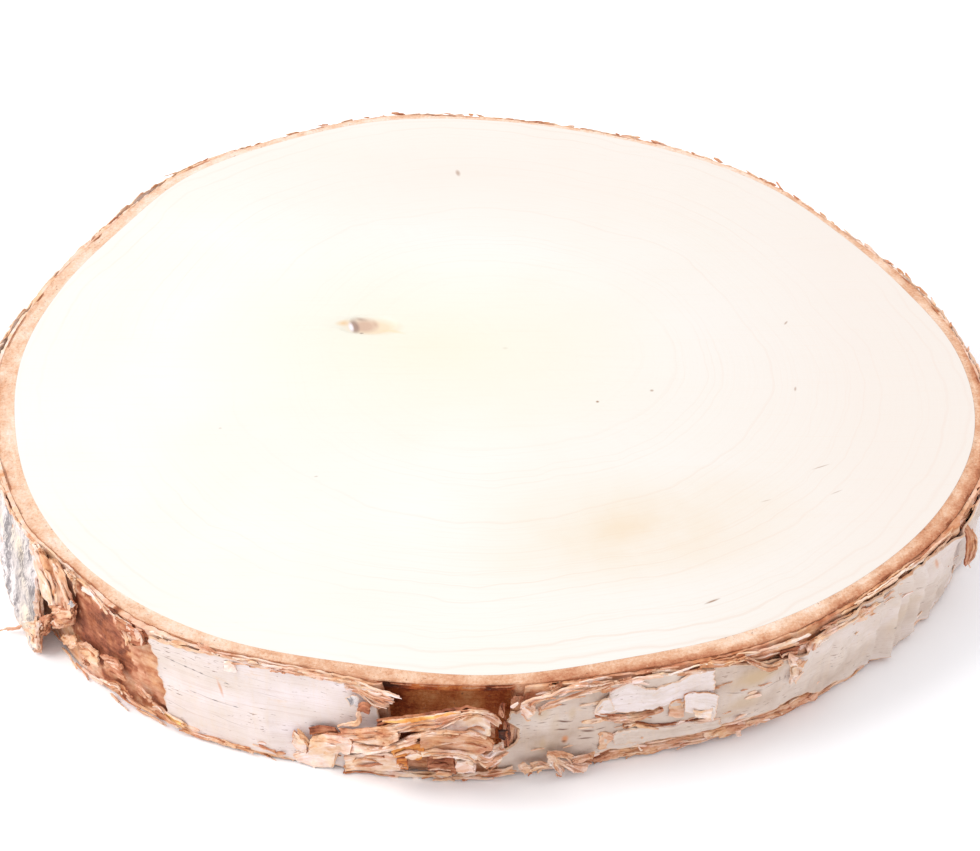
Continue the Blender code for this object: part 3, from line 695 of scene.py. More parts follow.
def relief(bearing, height):
    """Stand-off of the paper's face: broad waves and the loose upright folds."""
    level = 0.4 * grain(bearing, height, 26.0, 16.0, 1) + 0.16 * grain(bearing, height, 7.0, 6.0, 2)
    for middle, half_width, low, high, rise in (
            (315.6, 0.6, 4.0, 24.0, 1.2), (318.2, 0.9, 1.0, 21.0, 2.2), (320.4, 0.6, 3.0, 24.0, 1.3),
            (322.6, 0.7, 3.0, 23.0, 1.9), (326.4, 0.9, 1.0, 19.0, 1.4), (329.6, 0.6, 4.0, 25.0, 1.0),
            (337.0, 1.0, 2.0, 20.0, 1.2), (246.5, 2.5, 2.0, 12.0, 0.6), (142.0, 2.0, 4.0, 22.0, 1.0),
            (84.0, 1.8, 2.0, 18.0, 0.7)):
        across = (np.mod(bearing, 360.0) - middle + 0.06 * (height - 12.0)) / half_width
        crease = np.where(across < 0.0, np.exp(-across * across * 0.5), np.exp(-2.6 * np.abs(across)))
        level = level + rise * crease * ramp(height, low, high, 4.0)
    crumpled = ramp(np.mod(bearing, 360.0), 302.0, 345.0, 6.0)
    crumpled = crumpled + 0.5 * ramp(np.mod(bearing, 360.0), 272.0, 296.0, 4.0)
    creases = np.abs(grain(bearing, height, 6.0, 9.0, 41))
    creases = creases + 0.5 * np.abs(grain(bearing, height, 2.6, 4.0, 42))
    return level + crumpled * (0.9 * creases - 0.35)


def inside_window(bearing):
    return ramp(bearing, WINDOW[0], WINDOW[1], 0.5)


def ring_piece(name, bearing, radius, height, paints):
    """A closed ring from its section at each bearing, mapped round and up."""
    points = place(bearing, radius, height)
    uv = bark_map(bearing, height + 0.4 * (radius - radius[:, :1]))
    ring = grid(name, points, uv, paints)
    clean(ring)
    smooth(ring, 50.0)
    return ring


def make_inner_bark():
    """The tan inner bark, granular on top, hollow and brown behind the torn window, with painted shade at
    the hollow's ends and top.
    """
    bearing = np.linspace(0.0, 360.0, RING_TURNS + 1)[:, None]
    wall = np.array((0.0, 1.0, 3.0, 4.5, 5.5, 6.5, 8.0, 10.0, 12.0, 14.0, 16.0, 18.0, 20.0, 21.5,
                     23.0, 24.2, 25.2, 26.2, 27.0, 27.6, 27.9))
    tops = np.linspace(1.0, 0.0, 14)
    b_wall = bearing + 0.0 * wall
    h_wall = wall + 0.0 * bearing
    face = bark_radius(b_wall, h_wall) - paper_depth(b_wall) - 0.05
    hollow = inside_window(b_wall) * ramp(h_wall, 6.0, 25.0, 1.2)
    bite = 0.35 * grain(b_wall, h_wall, 2.4, 1.6, 5) + 0.25 * grain(b_wall, h_wall, 1.0, 0.8, 6)
    face = face - 2.4 * hollow - np.abs(bite) * (0.25 + 0.75 * hollow)
    face = np.maximum(face, wood_radius(b_wall, h_wall) + 0.3)
    upper_lip = inside_window(bearing) * 0.5
    b_top = bearing + 0.0 * tops
    inner = wood_radius(b_top, THICKNESS) + 0.02
    outer = face[:, -1:] - 0.05
    r_top = inner + (outer - inner) * tops
    rough = 0.10 * grain(b_top, r_top, 2.2, 1.0, 7) + 0.08 * grain(b_top, r_top, 0.9, 0.5, 8)
    chips = np.clip(grain(b_top, r_top, 5.0, 40.0, 9) - 0.35, 0.0, 1.0) * (tops > 0.9) * 1.1
    h_top = THICKNESS - 0.02 - 0.1 * np.minimum(1.0, 5.0 * tops) * (1.0 - rough / 0.1) - chips
    h_top = h_top - upper_lip * (tops > 0.95)
    floor_shares = shares_of(3)
    b_low = bearing + 0.0 * floor_shares
    inner_low = wood_radius(b_low, 0.0) + 0.02
    r_low = inner_low + (face[:, :1] - inner_low) * floor_shares
    h_low = 0.0 * b_low
    radius = np.concatenate((face, r_top, r_low), axis=1)
    height = np.concatenate((h_wall, h_top, h_low), axis=1)
    b = bearing + 0.0 * radius
    open_tone_and_shade = 0.30 + 0.12 * grain(b_wall, h_wall, 9.0, 7.0, 11) + 0.1 * grain(b_wall, h_wall, 2.5, 2.0, 31)
    # Painted shade: the hollow is laid darker towards its left and right ends
    open_tone_and_shade = open_tone_and_shade + 0.30 * ramp(b_wall, 257.0, 260.2, 2.6) + 0.22 * ramp(b_wall, 269.8, 273.0, 1.2)
    # Painted shade along the hollow's ragged top edge
    ragged = h_wall + 1.2 * grain(b_wall, 0.0 * h_wall, 2.4, 9.0, 45)
    open_tone_and_shade = open_tone_and_shade + 0.22 * ramp(ragged, 24.2, 30.0, 0.6)
    wall_tone = 0.52 + (open_tone_and_shade - 0.52) * inside_window(b_wall)
    side = np.clip((b_top - 262.0) / 40.0, 0.0, 1.0) * np.clip((392.0 - b_top) / 40.0, 0.0, 1.0)
    side = side + np.clip(1.0 - b_top / 40.0, 0.0, 1.0) * 0.6 - ramp(b_top, 60.0, 150.0, 30.0)
    side = side + 0.9 * ramp(b_top, 252.0, 286.0, 8.0) - 0.9 * ramp(b_top, 292.0, 316.0, 8.0)
    outer_tone = 0.10 + 0.06 * ramp(b_top, 290.0, 380.0, 10.0)
    top_tone = 0.31 + 0.08 * side + outer_tone * tops ** 3 + 0.06 * grain(b_top, r_top, 14.0, 3.0, 12)
    outer_band = ramp(tops + 0.15 * grain(b_top, 0.0 * b_top, 5.0, 9.0, 46), 0.62, 2.0, 0.2)
    top_tone = top_tone + 0.10 * ramp(b_top, 290.0, 350.0, 20.0) * outer_band
    tone = np.concatenate((wall_tone, top_tone, 0.3 + 0.0 * b_low), axis=1)
    opened = np.concatenate((inside_window(b_wall), 0.0 * b_top, 0.0 * b_low), axis=1)
    ring = ring_piece("inner_bark_ring", b, radius, height, {"tone": tone, "open": opened})
    return hand_over(ring, (INNER_BARK,), "inner_bark", "inner_bark")


def make_under_bark():
    """The reddish layers between the inner bark and the white paper, torn in steps."""
    bearing = np.linspace(0.0, 360.0, RING_TURNS + 1)[:, None]
    shares = shares_of(36)
    b = bearing + 0.0 * shares
    h_guess = THICKNESS * shares + 0.0 * bearing
    top = THICKNESS - 0.12 - 0.5 * np.clip(grain(b, 0.0 * b, 5.0, 9.0, 13), 0.0, 1.0)
    top = top - 0.45 * np.abs(grain(b, 0.0 * b, 1.6, 9.0, 14))
    ragged = 1.5 * grain(b, h_guess, 8.0, 4.0, 36) + 0.9 * grain(b, h_guess, 2.0, 1.1, 37)
    top = top + (6.2 - top) * inside_window(b + ragged)
    foot = 0.1 + 0.7 * np.clip(grain(b, 0.0 * b, 6.0, 9.0, 15), 0.0, 1.0)
    h = foot + (top - foot) * shares
    back = bark_radius(b, h) - paper_depth(b)
    layers = grain(b, h, 18.0, 2.6, 16) + 0.5 * grain(b, h, 6.0, 1.2, 17)
    steps = np.floor(layers * 2.5) * 0.22 + 0.1 * layers
    open_right = ramp(b, 274.0, 346.0, 4.0) * ramp(h, 23.0, 30.0, 2.0)
    stand = relief(b, h) - 0.95 + np.clip(steps, -0.5, 0.4) - 0.15 * np.abs(grain(b, h, 1.5, 0.8, 18))
    face = np.maximum(bark_radius(b, h) + stand, back + 0.45)
    radius = np.concatenate((face, back[:, -1:], back[:, :1]), axis=1)
    height = np.concatenate((h, h[:, -1:], h[:, :1]), axis=1)
    wobble = 2.6 * grain(b, h, 5.0, 4.0, 32) + 1.5 * grain(b, h, 1.6, 1.4, 33)
    tone = 0.42 + 0.14 * layers + 0.08 * open_right + 0.12 * grain(b, h, 4.0, 0.9, 34)
    brown = ramp(b + wobble, 220.6, 229.4, 0.5) * ramp(h + wobble, 8.0, 30.0, 1.0)
    brown = np.maximum(brown, 0.8 * ramp(b + wobble, 226.0, 233.0, 0.6) * ramp(h + wobble, 1.5, 6.0, 0.6))
    tan = ramp(b + wobble, 229.4, 236.4, 0.5) * ramp(h + wobble, 6.0, 23.0, 1.0)
    slanted = b + 0.25 * h
    fleck = np.clip(grain(slanted, h, 3.2, 1.1, 35) - 0.3, 0.0, 1.0)
    fleck = fleck + 0.6 * np.clip(grain(slanted, h, 1.2, 0.8, 44) - 0.5, 0.0, 1.0)
    tone = tone + brown * (0.79 + 0.05 * layers - 0.55 * fleck - tone)
    tone = tone + tan * (0.47 + 0.05 * layers + 0.35 * fleck - tone)
    pale = ramp(h + wobble, 26.0, 40.0, 1.0) * (1.0 - ramp(b, 258.0, 350.0, 4.0))
    tone = tone + pale * (0.22 + 0.08 * layers - tone)
    tone = np.concatenate((tone, tone[:, -1:], tone[:, :1]), axis=1)
    ring = ring_piece("under_bark_ring", bearing + 0.0 * radius, radius, height, {"tone": tone})
    return hand_over(ring, (BARK_FACE,), "papery_bark", "outer_bark")


# White paper that lies on the slice, between two torn lines

UPPER_TEAR = ((235.0, 26.6), (240.0, 27.4), (250.0, 27.8), (254.0, 27.4), (258.6, 27.0),
              (272.4, 20.0), (274.0, 22.0), (276.0, 24.6), (279.0, 26.0), (283.0, 26.6),
              (288.0, 26.8), (291.0, 26.0), (296.0, 25.4), (298.0, 24.0), (300.0, 23.0),
              (303.0, 21.5), (304.5, 20.5), (305.5, 24.0), (310.0, 26.0), (314.0, 26.4),
              (318.0, 26.4), (324.0, 26.4), (326.0, 25.0), (328.0, 24.6), (331.0, 25.6),
              (334.0, 26.8), (340.0, 27.2), (350.0, 27.4), (400.0, 27.0), (430.0, 27.5),
              (460.0, 27.2), (478.0, 26.6), (500.0, 27.5), (520.0, 26.8), (545.0, 27.5), (575.0, 27.5))
LOWER_TEAR = ((235.0, 3.0), (238.0, 1.4), (242.0, 1.0), (246.0, 1.6), (250.0, 0.8), (258.0, 0.8),
              (272.0, 1.0), (275.0, 1.2), (279.0, 2.0), (281.5, 3.0), (283.0, 4.2), (288.0, 4.0),
              (295.0, 4.2), (300.0, 5.0), (304.0, 6.0), (306.0, 5.6), (308.0, 3.4), (312.0, 2.0),
              (316.0, 1.5), (320.0, 1.0), (330.0, 1.0), (345.0, 1.2), (400.0, 1.6), (440.0, 0.9),
              (480.0, 2.2), (500.0, 1.0), (575.0, 1.0))


def paper(name, first, last, ends, shade, cell, seed, spill):
    """A sheet of white paper on the wall, ragged along its torn lines and at both ends."""
    span = (last - first) / 360.0 * ROUND
    columns = int(span / cell) + 1
    rows = int(27.0 / cell) + 1
    s = shares_of(columns)[:, None]
    t = shares_of(rows)[None, :]
    b = first + (last - first) * s + 0.0 * t
    high, low = traced(UPPER_TEAR, b), traced(LOWER_TEAR, b)
    high = high + 0.6 * (0.55 * grain(b, 0.0 * b, 4.5, 9.0, 21) + 0.45 * grain(b, 0.0 * b, 1.3, 9.0, 22))
    low = low + 0.48 * (0.55 * grain(b, 0.0 * b, 4.0, 9.0, 23) + 0.45 * grain(b, 0.0 * b, 1.2, 9.0, 24))
    low = np.maximum(low, PAPER_FOOT)
    high = np.minimum(high, PAPER_HEAD)
    h = low + (high - low) * t
    per_mm = 360.0 / ROUND
    for far, reach, side in ((s * span, ends[0], 1.0), ((1.0 - s) * span, ends[1], -1.0)):
        torn_off = 0.5 + 0.5 * (0.6 * grain(first * side, h, 9.0, 4.0, 25 + seed)
                            + 0.4 * grain(first * side, h, 9.0, 1.1, 26 + seed))
        b = b + side * per_mm * reach * torn_off * np.exp(-far / 3.0)
    if spill:
        b = b + traced(spill, h) * np.exp(-s * span / 5.0)
    level = relief(b, h)
    gone = np.minimum(high - h, h - low)
    for far, reach in ((s * span, ends[0]), ((1.0 - s) * span, ends[1])):
        gone = np.minimum(gone, far + 6.0 * (reach == 0.0))
    curl = 0.35 * np.exp(-gone / 0.7) * (0.4 + 0.6 * np.abs(grain(b, h, 6.0, 6.0, 27)))
    level = level + curl + 0.07 * grain(b, h, 3.0, 2.0, 28)
    tear = np.exp(-gone / 0.55)
    tone = shade + 0.16 * grain(b, h, 16.0, 5.0, 29)
    tone = tone + 0.22 * ramp(b, 270.0, 301.5, 0.8) + 0.12 * ramp(b, 303.0, 330.0, 3.0)
    under = 0.24 + 0.1 * grain(b, h, 8.0, 4.0, 30)
    uv = bark_map(b, h)
    made = grid(name, on_wall(b, h, level), uv, {"tone": tone, "tear": tear, "under": under})
    clean(made, outward=False)
    thicken(made, PAPER_WALL)
    smooth(made, 35.0)
    return made


# Torn sheets

def through(points, u, v):
    """The smooth surface through a net of points, at shares u along and v across it."""
    def weights(share, count):
        place_on = np.clip(share, -0.08, 1.08) * (count - 1)
        first = np.clip(np.floor(place_on).astype(int), 0, count - 2)
        t = place_on - first
        w = (-0.5 * t + t * t - 0.5 * t ** 3, 1.0 - 2.5 * t * t + 1.5 * t ** 3,
             0.5 * t + 2.0 * t * t - 1.5 * t ** 3, -0.5 * t * t + 0.5 * t ** 3)
        return first, w

    padded = np.concatenate((2.0 * points[:1] - points[1:2], points, 2.0 * points[-1:] - points[-2:-1]))
    padded = np.concatenate((2.0 * padded[:, :1] - padded[:, 1:2], padded,
                             2.0 * padded[:, -1:] - padded[:, -2:-1]), axis=1)
    i, across = weights(u, points.shape[0])
    j, along = weights(v, points.shape[1])
    total = 0.0
    for a in range(4):
        for b in range(4):
            total = total + (across[a] * along[b])[..., None] * padded[i + a, j + b]
    return total


def torn(place_mm, seed):
    """How far a torn edge is bitten in, from 0 to 1, along its length in millimetres."""
    wide = lumps(place_mm / 4.2, 3.3 + 0.0 * place_mm, seed)
    small = lumps(place_mm / 1.3, 7.7 + 0.0 * place_mm, seed + 1)
    fine = lumps(place_mm / 0.5, 11.1 + 0.0 * place_mm, seed + 2)
    return np.clip(0.5 + 0.45 * wide + 0.35 * small + 0.2 * fine, 0.0, 1.3)


def splinters(place_mm, seed):
    """How far a sheet is bitten in where its fibres are torn across: long thin fingers."""
    wide = lumps(place_mm / 2.6, 5.5 + 0.0 * place_mm, seed)
    fine = np.abs(lumps(place_mm / 0.75, 2.2 + 0.0 * place_mm, seed + 1))
    return np.clip(0.35 + 0.4 * wide + 0.75 * fine, 0.0, 1.5)


def bent(net, tone, seed, rag, cell=0.34, layer=0, layers=1, step=0.42, taper=(0.0, 0.0), curl=0.25,
         ripple=0.12, spread=0.3, out=0.0, darker=0.1, under=None, part=(0.0, 1.0, 0.0, 1.0), wander=0.0,
         peel=0.0, slant=0.0, crumple=0.7):
    """Points, map and paints of a torn sheet through a net, or through a part of the net."""
    net = np.array(net, float)
    points = on_wall(net[..., 0], net[..., 1], net[..., 2] + out) / MM
    first, last, low, high = part
    long = np.linalg.norm(np.diff(points, axis=0), axis=-1).sum(0).mean() * (last - first)
    wide = np.linalg.norm(np.diff(points, axis=1), axis=-1).sum(1).mean() * (high - low)
    columns = max(7, int(long / cell) + 1)
    rows = max(4, int(wide / cell) + 1)
    s, t = np.meshgrid(shares_of(columns), shares_of(rows), indexing="ij")
    middle = points.reshape(-1, 3).mean(0)
    outward = np.array((middle[0], middle[1], 0.0)) / math.hypot(middle[0], middle[1])
    mine = seed * 7 + layer * 31
    share = 1.0 - 0.75 * layer / max(1, layers - 1)
    edges = ((splinters, t * wide), (splinters, t * wide), (torn, s * long), (torn, s * long))
    bites = [rag[k] * share * bite(run + 5.0 * k, mine + 3 * k) for k, (bite, run) in enumerate(edges)]
    narrow = np.ones_like(s)
    for far, reach in ((s, taper[0]), (1.0 - s, taper[1])):
        if reach:
            narrow = narrow * np.clip(far * long / reach + 0.1, 0.0, 1.0) ** 0.7
    u = bites[0] / long + (1.0 - (bites[0] + bites[1]) / long) * s
    v = bites[2] / wide + (1.0 - (bites[2] + bites[3]) / wide) * t
    v = 0.5 + (v - 0.5) * narrow
    v = v + wander / wide * lumps(s * long / 5.0, 4.0 + 0.0 * s, mine + 12) + slant / wide * (s - 0.5)
    surface = through(points, first + (last - first) * u, low + (high - low) * v)
    along = np.gradient(surface, axis=0)
    up = np.gradient(surface, axis=1)
    normal = np.cross(along, up)
    normal = normal / (np.linalg.norm(normal, axis=-1, keepdims=True) + 1e-9)
    turned_in = (normal @ outward).mean() < 0.0
    if turned_in:
        normal = -normal
    x, y = s * long, t * wide
    wave = ripple * (lumps(x / 3.1, y / 2.2, mine + 5) + 0.6 * lumps(x / 1.3, y / 0.7, mine + 6))
    creases = np.abs(lumps(x / 5.5, y / 2.1, mine + 13)) + 0.5 * np.abs(lumps(x / 2.2, y / 1.1, mine + 14))
    wave = wave + crumple * (creases - 0.6)
    gap = np.minimum(np.minimum(x, long - x), np.minimum(y, wide - y))
    lift = curl * np.exp(-gap / 0.7) * (0.35 + 0.65 * lumps(x / 2.4, y / 2.4, mine + 8))
    lift = lift + peel * (2.0 * np.abs(s - 0.5)) ** 2.5 * (0.6 + 0.6 * lumps(x / 6.0, y / 6.0, mine + 11))
    surface = surface + normal * (wave + lift - step * layer)[..., None]
    surface[..., 2] = np.clip(surface[..., 2], SHEET_FOOT, THICKNESS + 0.02)
    fibres = lumps(x / 6.0, y / 0.7, mine + 9) + 0.6 * lumps(x / 2.0, y / 0.35, mine + 10)
    shade = tone + darker * layer + spread * 0.35 * fibres
    below = (tone + 0.08 if under is None else under) + 0.1 * fibres + 0.5 * darker * layer
    uv = np.stack((x, y), -1) / MAP_UNIT + 0.37 * (seed + layer)
    found = (surface * MM, uv, shade, np.exp(-gap / 0.45), below)
    return [values[:, ::-1] for values in found] if turned_in else found


def build(name, sheets, look, thick):
    """One mesh of several sheets, which take their wall together."""
    parts = []
    for points, uv, tone, tear, under in sheets:
        made = grid(name, points, uv, {"tone": tone, "tear": tear, "under": under})
        for finish in LOOKS[look]:
            made.data.materials.append(finish)
        parts.append(made)
    whole = joined(name, parts)
    thicken(whole, thick)
    smooth(whole, 35.0)
    return whole


def threads(count, low, high, width=(0.5, 1.2), length=(0.35, 0.9), out=(0.1, 0.6), turned=False, peel=0.7):
    """Fibres over a sheet: their number, tones, widths, share of its length, and stand-offs."""
    return count, (low, high), width, length, out, turned, peel


def strips(net, seed, count, tones, width, length, out, turned, peel):
    """Thin torn fibres laid over a net, along its columns, or across them where turned."""
    dice = np.random.default_rng(900 + seed)
    if turned:
        net = np.swapaxes(net, 0, 1)
    solid = on_wall(net[..., 0], net[..., 1], net[..., 2]) / MM
    wide = np.linalg.norm(np.diff(solid, axis=1), axis=-1).sum(1).mean()
    made = []
    for k in range(count):
        reach = dice.uniform(*length)
        first = dice.uniform(-0.04, 1.04 - reach)
        full = width[0] + (1.6 * width[1] - width[0]) * dice.uniform(0.0, 1.0) ** 1.5
        half = min(0.49, 0.5 * full / wide)
        middle = dice.uniform(half, 1.0 - half)
        made.append(bent(net, dice.uniform(*tones), seed * 13 + k, FIBRE_RAG, 0.36, out=dice.uniform(*out),
                         taper=(dice.uniform(0.6, 2.5), dice.uniform(0.6, 2.5)), curl=0.05, ripple=0.2,
                         part=(first, first + reach, middle - half, middle + half), wander=0.5,
                         peel=dice.uniform(0.0, peel), slant=dice.uniform(-0.9, 0.9), crumple=0.45))
    return made


def torn_pieces():
    """Every torn piece, each made of the sheets and fibres that hang together."""
    seed = 40
    for piece, sheets in TORN_PIECES.items():
        groups = {}
        fibres = []
        for _, look, tone, rag, over, given, across, *tenths in sheets:
            seed += 1
            net = np.reshape(tenths, (-1, across, 3)) / 10.0
            settings = {"under": 0.2 if look == "paper" else None, **given}
            if over:
                fibres += strips(net, seed, *over)
            thick = settings.pop("thick", SHEET_WALL)
            layers = settings.pop("layers", 1)
            for layer in range(layers):
                shown = "bark" if layer and look == "lichen" else look
                sheet = bent(net, tone, seed, rag, layer=layer, layers=layers, **settings)
                groups.setdefault((shown, thick), []).append(sheet)
        parts = [build(piece, found, *key) for key, found in groups.items()]
        if fibres:
            parts.append(build(piece, fibres, "bark", FIBRE_WALL))
        hand_over(joined(piece, parts), None, "papery_bark")


def fibre_net(bearing, height, base, length, reach, width, slope, rise):
    """The net of one straight fibre, which rises off the wall towards its far end."""
    return [[(bearing + reach * u, height + slope * length * u + width * v, base + rise * u * u)
             for v in (0.5, -0.5)] for u in (0.0, 0.5, 1.0)]


def fringe_pieces():
    """Torn fibres along the edges of the paper, all the way round, by rule."""
    for piece, first, last, count, heights, stand, lengths, tones in (
            ("fringe_upper_right", 274.0, 345.0, 90, (-1.6, 0.5), (0.0, 0.3), (3.0, 11.0), (0.12, 0.5)),
            ("fringe_upper_left", 218.0, 257.0, 34, (-0.9, 0.3), (0.0, 0.25), (2.0, 7.0), (0.12, 0.4)),
            ("fringe_upper_back", 345.0, 572.0, 120, (-1.2, 0.3), (-0.1, 0.35), (1.5, 5.0), (0.14, 0.42)),
            ("fringe_lower_front", 214.0, 345.0, 90, (0.0, 0.0), (0.0, 0.4), (3.0, 9.0), (0.16, 0.5)),
            ("fringe_lower_back", 345.0, 572.0, 110, (0.0, 0.0), (0.0, 0.4), (2.0, 6.0), (0.25, 0.55))):
        dice = np.random.default_rng(len(piece) + count)
        found = []
        for k in range(count):
            bearing = first + (last - first) * (k + dice.uniform(0.0, 1.0)) / count
            if WINDOW[0] - 3.0 < bearing < WINDOW[1] + 2.0:
                continue
            if "lower" in piece:
                edge = traced(LOWER_TEAR, bearing)
                height = max(0.45, edge * dice.uniform(0.2, 1.15))
            else:
                edge = traced(UPPER_TEAR, bearing)
                height = edge + (27.9 - edge) * dice.uniform(0.0, 1.0) + dice.uniform(*heights) * 0.5
                height = min(27.8, height)
            length = dice.uniform(*lengths)
            width = dice.uniform(0.35, 1.1)
            slope = dice.normal(0.0, 0.12)
            reach = length * 360.0 / ROUND
            base = dice.uniform(*stand)
            if "lower" not in piece and bearing > 256.0 and height > edge + 0.3:
                base = base - 0.6
            rise = dice.uniform(0.0, 1.0) ** 3
            net = fibre_net(bearing, height, base - 0.075, length, reach, width, slope, rise)
            found.append(bent(net, dice.uniform(*tones), 300 + k, (0.2, 0.3, 0.05, 0.05), 0.42, wander=0.25,
                              taper=(dice.uniform(0.5, 1.5), dice.uniform(0.8, 2.5)), curl=0.05, ripple=0.15,
                              crumple=0.15))
        hand_over(build(piece, found, "bark", FRINGE_WALL), None, "papery_bark")


def peel_pieces():
    """Thin peels that lift from the paper along the grain, by rule."""
    for piece, first, last, count, low, high, tones in (
            ("peels_right", 275.5, 300.5, 38, 6.0, 22.0, (0.08, 0.5)),
            ("peels_far_right", 304.0, 344.0, 9, 4.0, 24.0, (0.0, 0.16)),
            ("peels_left", 238.0, 255.0, 7, 3.0, 9.0, (0.04, 0.3)),
            ("peels_back", 345.0, 545.0, 90, 2.5, 25.0, (0.04, 0.45))):
        dice = np.random.default_rng(70 + count)
        found = []
        for k in range(count):
            bearing = dice.uniform(first, last)
            height = dice.uniform(low, high)
            length = 2.0 + 7.0 * dice.uniform(0.0, 1.0) ** 2
            width = 0.3 + 1.2 * dice.uniform(0.0, 1.0) ** 2
            slope = dice.normal(0.0, 0.07)
            rise = 0.9 * dice.uniform(0.0, 1.0) ** 2
            reach = length * 360.0 / ROUND * (1.0 if dice.uniform() < 0.5 else -1.0)
            base = float(relief(bearing + 0.5 * reach, height)) + 0.12
            net = fibre_net(bearing, height, base, length, reach, width, slope, rise)
            found.append(bent(net, dice.uniform(*tones), 500 + k, (0.2, 0.4, 0.08, 0.1), 0.4, wander=0.3,
                              taper=(1.2, dice.uniform(0.4, 2.0)), curl=0.05, ripple=0.08, crumple=0.1,
                              under=0.36))
        hand_over(build(piece, found, "bark", PEEL_WALL), None, "papery_bark")


